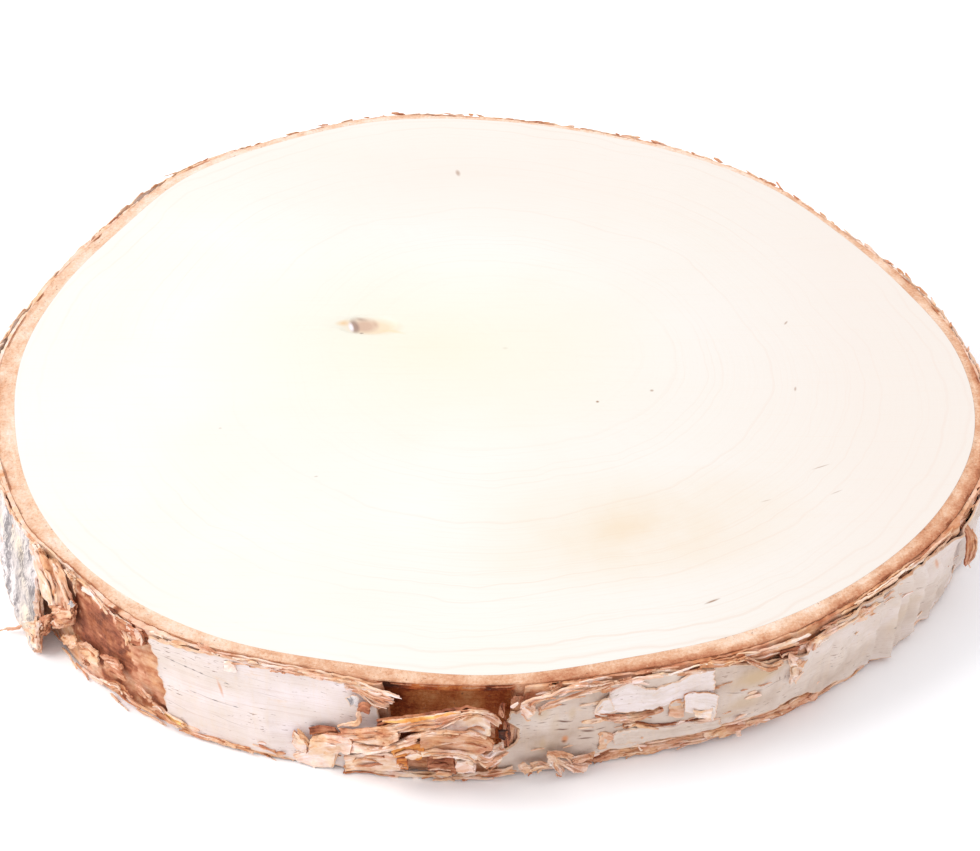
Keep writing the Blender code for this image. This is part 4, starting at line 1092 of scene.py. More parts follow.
# By piece, the sheets: name, look, tone, bites at its four edges, fibres over it, other settings. Then
# its net, in tenths of a degree and of a millimetre: so many points across the fibres in each column,
# each a bearing, a height and a stand-off from the bark's mean face
TORN_PIECES = {
    "splinters": (
        ("splinter one", "bark", 0.2, FINE_RAG, threads(3, 0.13, 0.46, (0.3, 0.7), (0.5, 1.0)),
         dict(taper=(2.0, 1.2), curl=0.1), 2, 2532, 261, -22, 2537, 251, -18, 2557, 276, -18,
         2559, 264, -12, 2586, 272, 0, 2585, 258, 3, 2612, 268, 10, 2609, 262, 12),
        ("splinter two", "bark", 0.3, FINE_RAG, threads(3, 0.13, 0.46, (0.3, 0.7), (0.5, 1.0)),
         dict(taper=(1.6, 1.2), curl=0.1), 2, 2543, 258, -15, 2546, 253, -10, 2560, 267, -10,
         2562, 257, -6, 2586, 259, 3, 2584, 250, 6, 2606, 259, 14, 2604, 252, 16),
        ("splinter three", "bark", 0.16, FINE_RAG, threads(3, 0.13, 0.46, (0.3, 0.7), (0.5, 1.0)),
         dict(taper=(1.6, 1.2), curl=0.1), 2, 2549, 259, -8, 2552, 250, -6, 2563, 262, -4, 2563, 252, -2,
         2584, 251, 6, 2583, 241, 8, 2604, 251, 16, 2602, 242, 18),
        ("splinter four", "bark", 0.34, FINE_RAG, threads(3, 0.13, 0.46, (0.3, 0.7), (0.5, 1.0)),
         dict(taper=(1.6, 1.2), curl=0.1), 2, 2554, 260, -2, 2556, 252, 0, 2566, 259, 0, 2569, 247, 2,
         2583, 242, 7, 2581, 231, 9, 2602, 240, 14, 2597, 230, 16),
    ),
    "window_curl": (
        # The back curl's tone is partly the bark's own brown and partly painted shade, as it lies behind the
        # ribbon
        ("back curl", "bark", 0.62, (0.4, 0.8, 0.7, 0.3), threads(4, 0.4, 0.7, (0.4, 1.0)),
         dict(layers=2, curl=0.35, thick=0.5), 2, 2586, 193, 24, 2585, 121, 26, 2611, 218, 29,
         2609, 136, 26, 2631, 232, 33, 2629, 149, 26, 2653, 249, 36, 2652, 161, 26, 2675, 263, 38,
         2675, 176, 26, 2692, 253, 34, 2691, 171, 26, 2706, 228, 28, 2706, 151, 26),
        ("ribbon", "bark", 0.28, (0.4, 0.6, 0.35, 0.45), threads(7, 0.1, 0.56, (0.4, 1.1), (0.25, 0.8)),
         dict(crumple=0.6, layers=3, step=0.3, curl=0.3), 2, 2587, 185, 36, 2588, 172, 48, 2605, 207, 40,
         2610, 192, 52, 2621, 223, 43, 2625, 205, 56, 2637, 235, 45, 2639, 212, 59, 2654, 249, 46,
         2649, 220, 59, 2667, 259, 46, 2660, 233, 57, 2681, 263, 44, 2670, 249, 52, 2694, 253, 40,
         2681, 256, 48, 2705, 233, 36, 2694, 241, 42, 2713, 203, 30, 2706, 202, 36),
    ),
    "window_faces": (
        ("upper face", "bark", 0.16, (0.5, 0.6, 0.4, 0.4),
         threads(1, 0.23, 0.53, (0.3, 0.6), out=(0.0, 0.3)), dict(crumple=0.5, layers=2, step=0.4), 2,
         2648, 216, 42, 2645, 188, 52, 2660, 231, 42, 2660, 189, 52, 2671, 247, 42, 2674, 188, 52,
         2682, 254, 42, 2684, 185, 52, 2693, 249, 42, 2694, 185, 52, 2701, 226, 42, 2701, 189, 52),
        # The lower face's tone is partly the bark's own colour and partly painted shade under the mid ribbon
        ("lower face", "bark", 0.46, (0.5, 0.6, 0.4, 0.4),
         threads(2, 0.23, 0.56, (0.3, 0.6), out=(0.0, 0.3)), dict(crumple=0.6, layers=2, step=0.4), 2,
         2632, 195, 58, 2631, 133, 54, 2651, 202, 58, 2650, 133, 54, 2667, 205, 58, 2667, 134, 54,
         2682, 204, 58, 2682, 133, 54, 2695, 189, 58, 2693, 135, 54, 2704, 170, 58, 2703, 144, 54),
        ("mid ribbon", "bark", 0.3, FINE_RAG, threads(3, 0.13, 0.49, (0.3, 0.7)),
         dict(taper=(1.5, 1.5), layers=2, step=0.3), 2, 2607, 151, 46, 2608, 139, 48, 2621, 189, 56,
         2622, 180, 60, 2638, 212, 63, 2640, 203, 67, 2654, 222, 66, 2655, 214, 69, 2674, 218, 65,
         2674, 209, 66, 2689, 206, 60, 2689, 196, 61, 2701, 172, 50, 2700, 158, 50),
        ("pale strip", "bark", 0.14, (0.6, 0.6, 0.3, 0.5), threads(4, 0.1, 0.46, (0.3, 0.7)),
         dict(layers=2, step=0.3), 2, 2631, 144, 58, 2633, 133, 60, 2648, 155, 63, 2648, 139, 65,
         2663, 157, 65, 2663, 137, 67, 2678, 150, 63, 2678, 127, 65, 2689, 134, 56, 2687, 113, 57),
    ),
    "window_roll": (
        ("left body", "bark", 0.42, (0.5, 0.6, 0.3, 0.4), threads(4, 0.2, 0.7, (0.3, 0.8)),
         dict(crumple=0.8, layers=2), 3, 2543, 137, 10, 2547, 132, 20, 2548, 112, 16, 2563, 157, 22,
         2565, 152, 35, 2564, 130, 34, 2583, 186, 34, 2584, 173, 47, 2583, 144, 46, 2598, 202, 42,
         2600, 188, 56, 2600, 157, 56, 2609, 196, 46, 2612, 198, 60, 2613, 185, 60),
        ("left lip", "bark", 0.2, (0.5, 0.6, 0.3, 0.4), threads(3, 0.1, 0.49, (0.3, 0.8)),
         dict(crumple=0.7, layers=2, step=0.35), 2, 2549, 110, 16, 2552, 79, 20, 2567, 122, 32,
         2568, 96, 36, 2583, 131, 44, 2584, 111, 48, 2601, 153, 54, 2602, 136, 58, 2613, 173, 58,
         2615, 158, 62, 2629, 190, 60, 2629, 176, 62),
        ("left low face", "bark", 0.22, (0.6, 0.6, 0.4, 0.3), threads(3, 0.16, 0.53, (0.3, 0.8)),
         dict(crumple=0.5), 2, 2546, 52, 16, 2546, 5, 8, 2564, 77, 24, 2561, 13, 14, 2581, 96, 30,
         2578, 21, 18, 2599, 110, 34, 2596, 25, 19, 2609, 91, 32, 2607, 24, 18),
    ),
    "window_folds": (
        ("orange fold", "amber", 0.48, (0.3, 0.3, 0.4, 0.5), threads(4, 0.23, 0.53),
         dict(crumple=0.9, curl=0.35, layers=2), 3, 2601, 138, 46, 2602, 125, 48, 2603, 99, 40,
         2615, 158, 52, 2615, 137, 53, 2614, 105, 44, 2626, 167, 54, 2626, 142, 55, 2624, 105, 46,
         2637, 162, 52, 2635, 142, 54, 2633, 111, 46),
        ("orange drop", "amber", 0.6, (0.3, 0.3, 0.3, 0.7), threads(3, 0.29, 0.6), dict(curl=0.3), 3,
         2606, 98, 36, 2604, 72, 33, 2601, 34, 20, 2617, 101, 38, 2617, 75, 35, 2616, 37, 22),
        ("low flakes", "bark", 0.6, (0.5, 0.5, 0.5, 0.7), threads(4, 0.2, 0.8, (0.4, 1.2)),
         dict(crumple=0.9, layers=2), 3, 2636, 99, 34, 2636, 74, 35, 2636, 32, 22, 2650, 105, 34,
         2650, 73, 35, 2649, 25, 22, 2664, 101, 34, 2665, 72, 35, 2665, 27, 22),
        ("pink block", "bark", 0.12, (0.4, 0.5, 0.4, 0.5), threads(1, 0.1, 0.53, (0.4, 1.0)),
         dict(crumple=0.5, layers=2), 3, 2666, 78, 34, 2667, 63, 34, 2666, 36, 24, 2676, 80, 34,
         2677, 62, 34, 2677, 33, 24, 2686, 74, 34, 2686, 61, 34, 2685, 36, 24),
        ("bottom strip", "bark", 0.2, (0.8, 0.8, 0.5, 0.2),
         threads(8, 0.13, 0.53, (0.3, 0.8), (0.12, 0.35)), dict(layers=2, step=0.3), 2, 2545, 14, 16,
         2547, 1, 12, 2576, 17, 16, 2575, 1, 12, 2606, 17, 16, 2605, 1, 12, 2635, 16, 16, 2635, -2, 12,
         2664, 13, 16, 2664, -5, 12, 2694, 23, 16, 2694, 1, 12, 2725, 34, 16, 2725, 12, 12),
    ),
    "window_fray": (
        ("fray one", "bark", 0.22, LONG_RAG, threads(4, 0.1, 0.5, (0.4, 1.0)), dict(layers=2, step=0.3), 2,
         2682, 147, 52, 2683, 131, 50, 2689, 130, 54, 2690, 108, 52, 2697, 122, 54, 2698, 96, 52,
         2705, 129, 48, 2707, 106, 46, 2714, 134, 38, 2718, 118, 36),
        ("fray two", "bark", 0.14, LONG_RAG, threads(3, 0.1, 0.5, (0.4, 1.0)), dict(layers=2, step=0.3), 2,
         2687, 111, 48, 2689, 90, 46, 2694, 101, 50, 2695, 78, 48, 2702, 103, 48, 2704, 80, 46,
         2711, 110, 40, 2714, 89, 38),
        ("fray three", "bark", 0.3, LONG_RAG, threads(3, 0.1, 0.5, (0.4, 0.9)), {}, 2, 2699, 146, 46,
         2701, 127, 44, 2707, 147, 44, 2709, 126, 42, 2715, 145, 34, 2718, 129, 32),
        ("hole rim", "bark", 0.78, LONG_RAG, threads(2, 0.6, 0.9, (0.4, 0.9)), {}, 2, 2712, 212, 26,
         2716, 211, 22, 2715, 194, 32, 2720, 186, 26, 2715, 167, 34, 2722, 157, 28, 2713, 141, 34,
         2719, 122, 28),
        # A dark sheet over the hollow at the window's right end: painted shade that stands for the hole
        ("hollow flake", "bark", 1.0, FINE_RAG, None, dict(spread=0.1), 2, 2707, 182, 35, 2708, 159, 34,
         2713, 192, 38, 2714, 153, 36, 2719, 184, 35, 2720, 162, 33),
        ("red side", "bark", 0.74, LONG_RAG, threads(2, 0.5, 0.9, (0.4, 0.9)), {}, 2, 2711, 244, 6,
         2715, 250, 8, 2709, 225, 10, 2715, 224, 12, 2711, 203, 14, 2717, 200, 16),
        ("right block", "bark", 0.2, LONG_RAG, None, dict(layers=2, step=0.4), 2, 2664, 97, 42,
         2665, 58, 38, 2674, 102, 44, 2674, 56, 40, 2685, 99, 44, 2685, 58, 40),
        ("yellow inside", "amber", 0.3, LONG_RAG, None, dict(taper=(2.0, 2.0), crumple=0.3), 2,
         2592, 213, 36, 2592, 205, 38, 2613, 225, 38, 2614, 215, 42, 2635, 242, 40, 2636, 230, 46,
         2655, 258, 42, 2656, 245, 48, 2672, 263, 42, 2673, 257, 46),
    ),
    "lichen_slab": (
        ("slab", "lichen", 0.2, (0.6, 1.1, 0.5, 0.5), None,
         dict(cell=0.5, layers=3, step=0.65, thick=0.6, out=-0.05, darker=0.16, crumple=0.4,
              ripple=0.3, curl=0.35),
         4, 1860, 273, 9, 1875, 180, 8, 1865, 80, 9, 1875, 9, 8, 1950, 275, 6, 1950, 180, 10, 1950, 80, 19,
         1950, 8, 28, 2040, 274, -2, 2040, 180, 12, 2040, 80, 26, 2040, 8, 39, 2105, 272, -5,
         2105, 180, 15, 2105, 80, 37, 2105, 8, 52, 2165, 260, 2, 2160, 180, 22, 2166, 80, 45, 2170, 9, 62),
        ("slab foot", "bark", 0.16, FINE_RAG, threads(3, 0.16, 0.53), dict(layers=2), 2, 2125, 20, 46,
         2138, 0, 52, 2155, 76, 46, 2164, 21, 58, 2171, 99, 42, 2176, 28, 60),
        ("slab torn end", "bark", 0.5, LONG_RAG, threads(6, 0.23, 0.64, (0.3, 0.8)),
         dict(layers=3, step=0.35), 2, 2164, 92, 36, 2160, 50, 46, 2176, 113, 30, 2167, 43, 40,
         2184, 128, 24, 2178, 73, 34),
    ),
    "torn_fibres": (
        ("fibre pale", "bark", 0.2, LONG_RAG, threads(4, 0.06, 0.44, (0.7, 1.6), (0.5, 1.0), peel=1.0),
         dict(layers=2, crumple=1.2), 2, 2136, 266, 0, 2162, 280, 1, 2150, 224, 9, 2174, 244, 9,
         2164, 184, 16, 2186, 204, 16, 2178, 146, 18, 2194, 166, 18),
        ("fibre red one", "bark", 0.46, FINE_RAG, threads(3, 0.2, 0.56, (0.5, 1.2), (0.5, 1.0)),
         dict(taper=(1.0, 2.5), crumple=1.2), 2, 2156, 280, 2, 2174, 280, 2, 2170, 246, 10, 2188, 256, 10,
         2186, 204, 14, 2202, 216, 14, 2198, 156, 16, 2210, 168, 15),
        ("fibre red two", "bark", 0.34, FINE_RAG, threads(3, 0.16, 0.5, (0.5, 1.2), (0.5, 1.0)),
         dict(taper=(1.0, 2.5), crumple=1.2), 2, 2176, 280, 2, 2194, 280, 2, 2188, 252, 8, 2206, 260, 8,
         2200, 214, 12, 2216, 222, 10, 2209, 174, 12, 2220, 184, 10),
        ("fibre tan edge", "bark", 0.28, FINE_RAG, threads(3, 0.16, 0.5, (0.3, 0.9)), {}, 2, 2204, 305, 0,
         2213, 314, 0, 2220, 299, 3, 2224, 296, 2, 2223, 276, 6, 2223, 226, 4),
        ("brown lump", "bark", 0.46, (1.4, 1.4, 1.0, 1.0), threads(3, 0.2, 0.66, (0.5, 1.6)),
         dict(layers=3, step=0.4, curl=0.4, crumple=1.0), 3, 2176, 144, 16, 2186, 128, 24, 2180, 80, 16,
         2201, 182, 14, 2208, 158, 23, 2200, 102, 16, 2218, 198, 6, 2224, 181, 14, 2217, 136, 6),
        ("white flake", "paper", 0.4, FINE_RAG, None, dict(taper=(0.6, 2.5)), 2, 2234, 276, 2,
         2234, 263, 4, 2248, 280, 2, 2248, 264, 4, 2260, 277, 2, 2259, 265, 4, 2273, 264, 2, 2271, 260, 4),
        ("grey flake", "lichen", 0.5, LONG_RAG, None, dict(taper=(1.0, 1.0)), 2, 2210, 201, 9,
         2213, 182, 11, 2226, 226, 9, 2224, 199, 11),
    ),
    "brown_patch": (
        ("brown edge dark", "bark", 0.72, LONG_RAG, None, {}, 2, 2270, 292, 2, 2280, 277, 3, 2287, 309, 2,
         2290, 277, 3, 2296, 306, 2, 2298, 292, 3),
        ("middle bits", "bark", 0.56, (0.5, 0.5, 0.9, 0.9), threads(6, 0.2, 0.56, turned=True),
         dict(layers=2), 3, 2292, 279, 1, 2297, 247, 4, 2299, 209, 3, 2311, 277, 1, 2314, 246, 4,
         2314, 210, 3, 2331, 268, 1, 2334, 254, 4, 2335, 234, 3),
    ),
    "left_foot_flakes": (
        ("foot flake one", "bark", 0.4, (1.2, 1.2, 0.9, 0.9),
         threads(2, 0.3, 0.62, (0.3, 0.8), out=(0.0, 0.25)), dict(curl=0.3, crumple=0.6), 2, 2178, 51, 3,
         2191, 37, 6, 2199, 88, 3, 2208, 49, 6, 2212, 103, 3, 2225, 84, 6),
        ("foot flake two", "bark", 0.36, (1.2, 1.2, 0.9, 0.9),
         threads(2, 0.3, 0.62, (0.3, 0.8), out=(0.0, 0.25)), dict(curl=0.3, crumple=0.6), 2, 2217, 93, 3,
         2230, 60, 7, 2235, 115, 3, 2246, 61, 7, 2257, 120, 3, 2262, 70, 7),
        ("foot flake three", "bark", 0.48, (1.2, 1.2, 0.9, 0.9),
         threads(2, 0.3, 0.62, (0.3, 0.8), out=(0.0, 0.25)), dict(curl=0.3, crumple=0.6), 2, 2255, 112, 1,
         2268, 77, 4, 2281, 130, 1, 2285, 81, 4, 2294, 120, 1, 2302, 86, 4),
        ("foot flake four", "bark", 0.42, (1.2, 1.2, 0.9, 0.9),
         threads(2, 0.3, 0.62, (0.3, 0.8), out=(0.0, 0.25)), dict(curl=0.3, crumple=0.6), 2, 2306, 94, 2,
         2312, 71, 5, 2320, 83, 2, 2323, 51, 5, 2331, 77, 2, 2333, 53, 5),
        ("foot red one", "bark", 0.62, LONG_RAG, threads(3, 0.16, 0.56, (0.3, 0.9)), {}, 2, 2227, 55, 4,
         2234, 44, 7, 2239, 65, 4, 2240, 45, 7),
        ("foot red two", "bark", 0.56, LONG_RAG, threads(3, 0.16, 0.56, (0.3, 0.9)), {}, 2, 2266, 50, 3,
         2274, 36, 6, 2283, 60, 3, 2290, 44, 6, 2298, 51, 3, 2313, 45, 6),
        ("orange foot", "amber", 0.3, LONG_RAG, threads(3, 0.16, 0.56, (0.3, 0.9)), dict(layers=2), 2,
         2332, 62, 6, 2336, 40, 9, 2348, 47, 6, 2348, 25, 9, 2370, 36, 6, 2374, 28, 9),
        ("foot rim left", "bark", 0.36, (0.6, 0.6, 0.5, 0.2),
         threads(6, 0.2, 0.53, (0.3, 0.6), (0.15, 0.4)), dict(layers=2), 2, 2329, 43, 0, 2331, 33, 2,
         2351, 29, 0, 2351, 17, 2, 2376, 19, 0, 2376, 6, 2, 2417, 18, 0, 2417, 6, 2, 2451, 18, 0,
         2451, 11, 2, 2476, 17, 0, 2476, 9, 2),
        ("foot curl", "bark", 0.5, FINE_RAG, None, {}, 2, 2453, 40, 5, 2457, 30, 9, 2463, 34, 5,
         2466, 26, 9, 2472, 27, 5, 2475, 21, 9),
    ),
    "loose_strand": (
        ("strand", "bark", 0.3, FINE_RAG, None, dict(taper=(1.0, 2.5), thick=0.3), 2, 2130, 19, 56,
         2130, 9, 56, 2125, 17, 82, 2125, 9, 82, 2122, 15, 106, 2122, 9, 106),
        ("strand foot", "bark", 0.4, FINE_RAG, None, dict(taper=(0.5, 1.5), thick=0.3), 2, 2134, 34, 52,
         2134, 26, 52, 2130, 24, 70, 2130, 17, 70, 2126, 18, 88, 2126, 12, 88),
    ),
    "left_crest": (
        ("orange crest", "bark", 0.36, (0.6, 0.6, 0.1, 0.7),
         threads(8, 0.2, 0.49, (0.3, 0.6), (0.12, 0.4)), dict(layers=2, step=0.3, curl=0.4), 2,
         2390, 288, -16, 2394, 279, -12, 2419, 268, -10, 2423, 263, -4, 2445, 272, -8, 2446, 268, -2,
         2466, 273, -6, 2467, 269, 0, 2490, 277, -6, 2492, 272, 0, 2517, 275, -6, 2518, 271, 0,
         2544, 275, -8, 2546, 273, 0, 2560, 275, -10, 2562, 266, 1),
        ("yellow flake", "bark", 0.1, (0.4, 0.4, 0.3, 0.6), None, {}, 2, 2423, 262, 2, 2424, 241, 5,
         2431, 270, 2, 2432, 237, 5, 2436, 264, 2, 2439, 239, 5),
    ),
    "lichen_curls": (
        ("lichen curl one", "lichen", 0.5, FINE_RAG, None, dict(curl=0.4), 3, 2556, 233, 10, 2558, 233, 18,
         2559, 220, 14, 2563, 248, 10, 2564, 242, 18, 2564, 223, 14, 2567, 221, 10, 2567, 219, 18,
         2565, 204, 14),
        ("lichen curl two", "bark", 0.7, FINE_RAG, None, dict(curl=0.4), 3, 2565, 226, 12, 2567, 222, 19,
         2567, 205, 14, 2574, 239, 12, 2574, 231, 19, 2573, 209, 14, 2580, 230, 12, 2581, 225, 19,
         2579, 207, 14),
        ("lichen long", "bark", 0.72, FINE_RAG, None, dict(curl=0.4), 3, 2510, 123, 10, 2513, 121, 15,
         2513, 110, 12, 2527, 136, 10, 2527, 126, 15, 2526, 107, 12, 2541, 138, 10, 2542, 130, 15,
         2542, 112, 12),
        ("green strand", "bark", 0.32, FINE_RAG, None, dict(taper=(1.5, 1.0)), 2, 2544, 154, 14,
         2544, 144, 15, 2556, 168, 18, 2556, 158, 19, 2565, 183, 22, 2569, 172, 23, 2565, 208, 20,
         2570, 214, 21),
    ),
    "left_rolls": (
        ("roll one", "bark", 0.14, FINE_RAG, None, dict(crumple=0.8, under=0.6, curl=0.4), 3, 2493, 104, 6,
         2495, 87, 15, 2492, 52, 8, 2498, 97, 8, 2500, 79, 18, 2499, 44, 12, 2506, 88, 10, 2509, 76, 20,
         2509, 46, 14),
        ("roll two", "bark", 0.3, FINE_RAG, threads(3, 0.1, 0.53, (0.3, 0.8)), dict(crumple=0.8, curl=0.4),
         3, 2497, 108, 8, 2502, 101, 16, 2504, 80, 12, 2505, 104, 10, 2509, 94, 18, 2511, 71, 14,
         2511, 88, 12, 2513, 77, 19, 2512, 52, 14),
        ("roll three", "bark", 0.22, FINE_RAG, threads(2, 0.1, 0.4, (0.4, 1.2)),
         dict(crumple=0.7, under=0.6, curl=0.4, layers=2), 3, 2513, 98, 12, 2513, 83, 20, 2510, 52, 14,
         2529, 119, 16, 2530, 94, 24, 2527, 53, 18, 2543, 126, 20, 2545, 106, 28, 2543, 69, 22,
         2558, 130, 24, 2560, 114, 30, 2558, 84, 26),
        ("low left face", "bark", 0.12, LONG_RAG, None, dict(crumple=0.4, layers=2), 3, 2490, 25, 6,
         2492, 18, 9, 2493, 5, 6, 2516, 55, 10, 2516, 30, 12, 2514, -1, 8, 2543, 66, 14, 2539, 38, 15,
         2534, 3, 10),
    ),
    "window_chips": (
        ("pink chip", "bark", 0.16, FINE_RAG, threads(3, 0.1, 0.46, (0.3, 0.7)), dict(layers=2), 3,
         2730, 241, 12, 2731, 239, 18, 2732, 228, 16, 2739, 247, 12, 2738, 228, 18, 2737, 199, 16,
         2747, 232, 12, 2746, 227, 18, 2746, 212, 16),
        ("white sliver", "bark", 0.02, (0.8, 0.8, 0.4, 0.4), None, {}, 2, 2719, 234, 10, 2722, 226, 12,
         2725, 248, 10, 2727, 240, 12, 2730, 254, 10, 2731, 249, 12),
        ("band chip", "bark", 0.5, FINE_RAG, threads(3, 0.1, 0.46, (0.3, 0.7)), dict(layers=2), 3,
         2760, 291, -12, 2760, 284, -2, 2761, 265, -2, 2765, 302, -12, 2765, 287, -2, 2767, 261, -2,
         2774, 292, -12, 2774, 289, -2, 2774, 275, -2),
    ),
    "long_fibres": (
        ("long fibre one", "bark", 0.24, FINE_RAG, threads(3, 0.16, 0.56, (0.25, 0.6)),
         dict(taper=(3.0, 4.0)), 2, 2730, 247, 10, 2733, 236, 11, 2747, 266, 13, 2748, 254, 14,
         2761, 273, 14, 2762, 264, 15, 2778, 282, 12, 2779, 270, 13, 2795, 283, 8, 2795, 274, 9),
        ("long fibre two", "bark", 0.34, FINE_RAG, threads(3, 0.16, 0.56, (0.25, 0.6)),
         dict(taper=(3.0, 4.0)), 2, 2745, 215, 10, 2748, 206, 11, 2761, 241, 13, 2763, 228, 14,
         2780, 258, 14, 2781, 246, 15, 2797, 268, 12, 2797, 258, 13, 2810, 269, 8, 2810, 262, 9),
        ("long fibre three", "bark", 0.46, FINE_RAG, threads(3, 0.16, 0.56, (0.25, 0.6)),
         dict(taper=(3.0, 4.0)), 2, 2769, 268, 2, 2773, 258, 4, 2794, 284, 4, 2795, 274, 6, 2819, 291, 4,
         2819, 280, 6, 2845, 291, 2, 2845, 278, 4),
        ("long fibre four", "bark", 0.3, FINE_RAG, threads(3, 0.16, 0.56, (0.25, 0.6)),
         dict(taper=(3.0, 3.0)), 2, 2794, 263, 6, 2798, 251, 7, 2813, 269, 8, 2815, 257, 9, 2829, 278, 8,
         2831, 266, 9, 2845, 276, 6, 2845, 269, 7),
        ("red wedge", "bark", 0.58, FINE_RAG, None, dict(taper=(1.0, 3.0)), 2, 2811, 250, 1, 2818, 234, 2,
         2827, 260, 1, 2831, 242, 2, 2845, 267, 1, 2845, 261, 2),
    ),
    "flake_pile": (
        ("pile one", "bark", 0.14, LONG_RAG, threads(3, 0.1, 0.49, (0.3, 0.9)), dict(layers=2), 3,
         2728, 55, 24, 2729, 52, 30, 2730, 36, 26, 2736, 63, 26, 2737, 49, 32, 2739, 22, 28, 2742, 48, 26,
         2745, 47, 32, 2747, 33, 28),
        ("pile two", "bark", 0.3, LONG_RAG, threads(3, 0.1, 0.49, (0.3, 0.9)), {}, 3, 2739, 53, 20,
         2741, 45, 25, 2743, 28, 22, 2752, 54, 20, 2753, 44, 25, 2754, 24, 22, 2764, 45, 20, 2764, 40, 25,
         2764, 26, 22),
        ("pile three", "bark", 0.12, LONG_RAG, threads(3, 0.1, 0.49, (0.3, 0.9)), dict(layers=2), 2,
         2758, 80, 26, 2763, 54, 28, 2766, 77, 26, 2766, 37, 28, 2770, 49, 26, 2772, 16, 28, 2779, 19, 26,
         2776, 9, 28),
        ("pile four", "bark", 0.24, LONG_RAG, threads(3, 0.1, 0.49, (0.3, 0.9)), dict(layers=2), 2,
         2763, 74, 22, 2765, 62, 24, 2781, 47, 26, 2780, 32, 28, 2796, 32, 28, 2791, 15, 30, 2806, 25, 28,
         2804, 12, 30),
        ("pile five", "bark", 0.36, LONG_RAG, threads(3, 0.1, 0.49, (0.3, 0.9)), {}, 3, 2757, 82, 16,
         2758, 81, 21, 2758, 73, 20, 2775, 78, 16, 2775, 73, 21, 2775, 61, 20, 2792, 55, 16, 2790, 51, 21,
         2789, 40, 20),
        ("pile six", "bark", 0.3, LONG_RAG, threads(3, 0.1, 0.49, (0.3, 0.9)), dict(layers=2), 3,
         2784, 48, 12, 2785, 44, 17, 2787, 33, 16, 2802, 51, 12, 2803, 46, 17, 2804, 33, 16, 2811, 57, 12,
         2811, 52, 17, 2812, 40, 16),
        ("foot sliver", "bark", 0.2, FINE_RAG, None, {}, 2, 2856, 61, 16, 2860, 46, 28, 2859, 62, 16,
         2863, 46, 28),
        ("foot chip one", "bark", 0.3, FINE_RAG, None, {}, 2, 2970, 34, 12, 2969, 26, 22, 2977, 31, 12,
         2976, 20, 22),
        ("foot chip two", "bark", 0.4, FINE_RAG, None, dict(layers=2), 2, 3065, 33, 4, 3076, 12, 10,
         3076, 38, 8, 3077, 26, 14, 3087, 39, 6, 3085, 28, 8),
    ),
    "right_sheets": (
        ("upper sheet", "paper", 0.28, (0.9, 0.8, 0.7, 0.9), None,
         dict(cell=0.4, crumple=0.5, ripple=0.1, curl=0.2), 2, 2821, 231, 5, 2809, 180, 7, 2841, 264, 5,
         2840, 160, 7, 2863, 238, 5, 2866, 160, 7, 2884, 234, 5, 2887, 164, 7, 2909, 258, 5, 2913, 171, 7,
         2936, 264, 5, 2941, 174, 7),
        ("lower sheet", "paper", 0.55, (0.9, 0.8, 0.8, 0.6), None,
         dict(cell=0.4, crumple=0.5, ripple=0.1, curl=0.2), 2, 2830, 102, 6, 2834, 52, 6, 2847, 111, 6,
         2852, 49, 6, 2875, 102, 6, 2878, 48, 6, 2909, 95, 6, 2912, 51, 6, 2954, 86, 6, 2956, 52, 6),
        ("left tongue", "paper", 0.35, LONG_RAG, None, {}, 2, 2807, 183, 9, 2813, 176, 9, 2813, 219, 9,
         2826, 172, 9, 2824, 234, 9, 2835, 178, 9),
    ),
    "right_tears": (
        ("torn middle", "bark", 0.42, LONG_RAG, threads(5, 0.16, 0.53, (0.3, 0.8)),
         dict(layers=2, step=0.3), 2, 2813, 168, 5, 2820, 157, 8, 2833, 161, 5, 2840, 138, 8, 2853, 156, 5,
         2857, 137, 8, 2884, 163, 5, 2884, 160, 8),
        ("dark tear one", "bark", 0.72, FINE_RAG, threads(3, 0.23, 0.67, (0.2, 0.5)),
         dict(taper=(1.5, 4.0)), 2, 2840, 129, 3, 2842, 117, 4, 2858, 124, 3, 2859, 111, 4, 2876, 106, 3,
         2876, 100, 4, 2901, 101, 3, 2901, 96, 4, 2927, 98, 3, 2927, 92, 4),
        ("dark tear two", "bark", 0.62, FINE_RAG, threads(3, 0.23, 0.6, (0.2, 0.5)),
         dict(taper=(1.5, 1.5)), 2, 2808, 182, 3, 2812, 163, 4, 2823, 171, 3, 2825, 154, 4, 2840, 155, 3,
         2841, 143, 4),
        ("tri tan", "bark", 0.36, FINE_RAG, None, {}, 2, 2891, 179, 3, 2890, 129, 4, 2899, 183, 3,
         2900, 118, 4, 2906, 176, 3, 2910, 113, 4),
        ("tan patch", "bark", 0.38, LONG_RAG, None, {}, 2, 2814, 103, 0, 2814, 55, 2, 2824, 103, 0,
         2826, 44, 2, 2836, 84, 0, 2833, 67, 2),
        ("brown wedge", "bark", 0.66, FINE_RAG, threads(3, 0.23, 0.6, (0.3, 0.6)), {}, 2, 3011, 227, -4,
         3014, 208, -2, 3015, 245, -4, 3023, 207, -2, 3037, 236, -4, 3035, 211, -2),
        ("orange lens", "bark", 0.36, LONG_RAG, None, {}, 2, 3098, 257, 2, 3105, 222, 3, 3116, 258, 2,
         3132, 205, 3, 3152, 219, 2, 3153, 209, 3),
    ),
    "white_flap": (
        ("white flap", "paper", 0.22, (0.2, 0.5, 0.7, 0.5), None, dict(crumple=0.4, curl=0.3, under=0.5),
         3, 2903, 199, 8, 2903, 179, 17, 2905, 146, 16, 2918, 204, 14, 2917, 173, 25, 2920, 130, 26,
         2944, 181, 16, 2939, 151, 29, 2936, 108, 32),
        ("flap foot", "bark", 0.12, LONG_RAG, None, {}, 2, 2910, 160, 26, 2912, 142, 29, 2921, 155, 30,
         2922, 134, 34, 2933, 159, 32, 2933, 124, 36),
    ),
    "torn_edges": (
        ("torn edge one", "bark", 0.46, LONG_RAG, threads(4, 0.13, 0.56, (0.3, 0.8)),
         dict(layers=2, step=0.3), 2, 2919, 288, -6, 2917, 276, 4, 2935, 279, -2, 2938, 266, 8,
         2951, 284, 2, 2954, 272, 9, 2964, 295, 4, 2968, 278, 8),
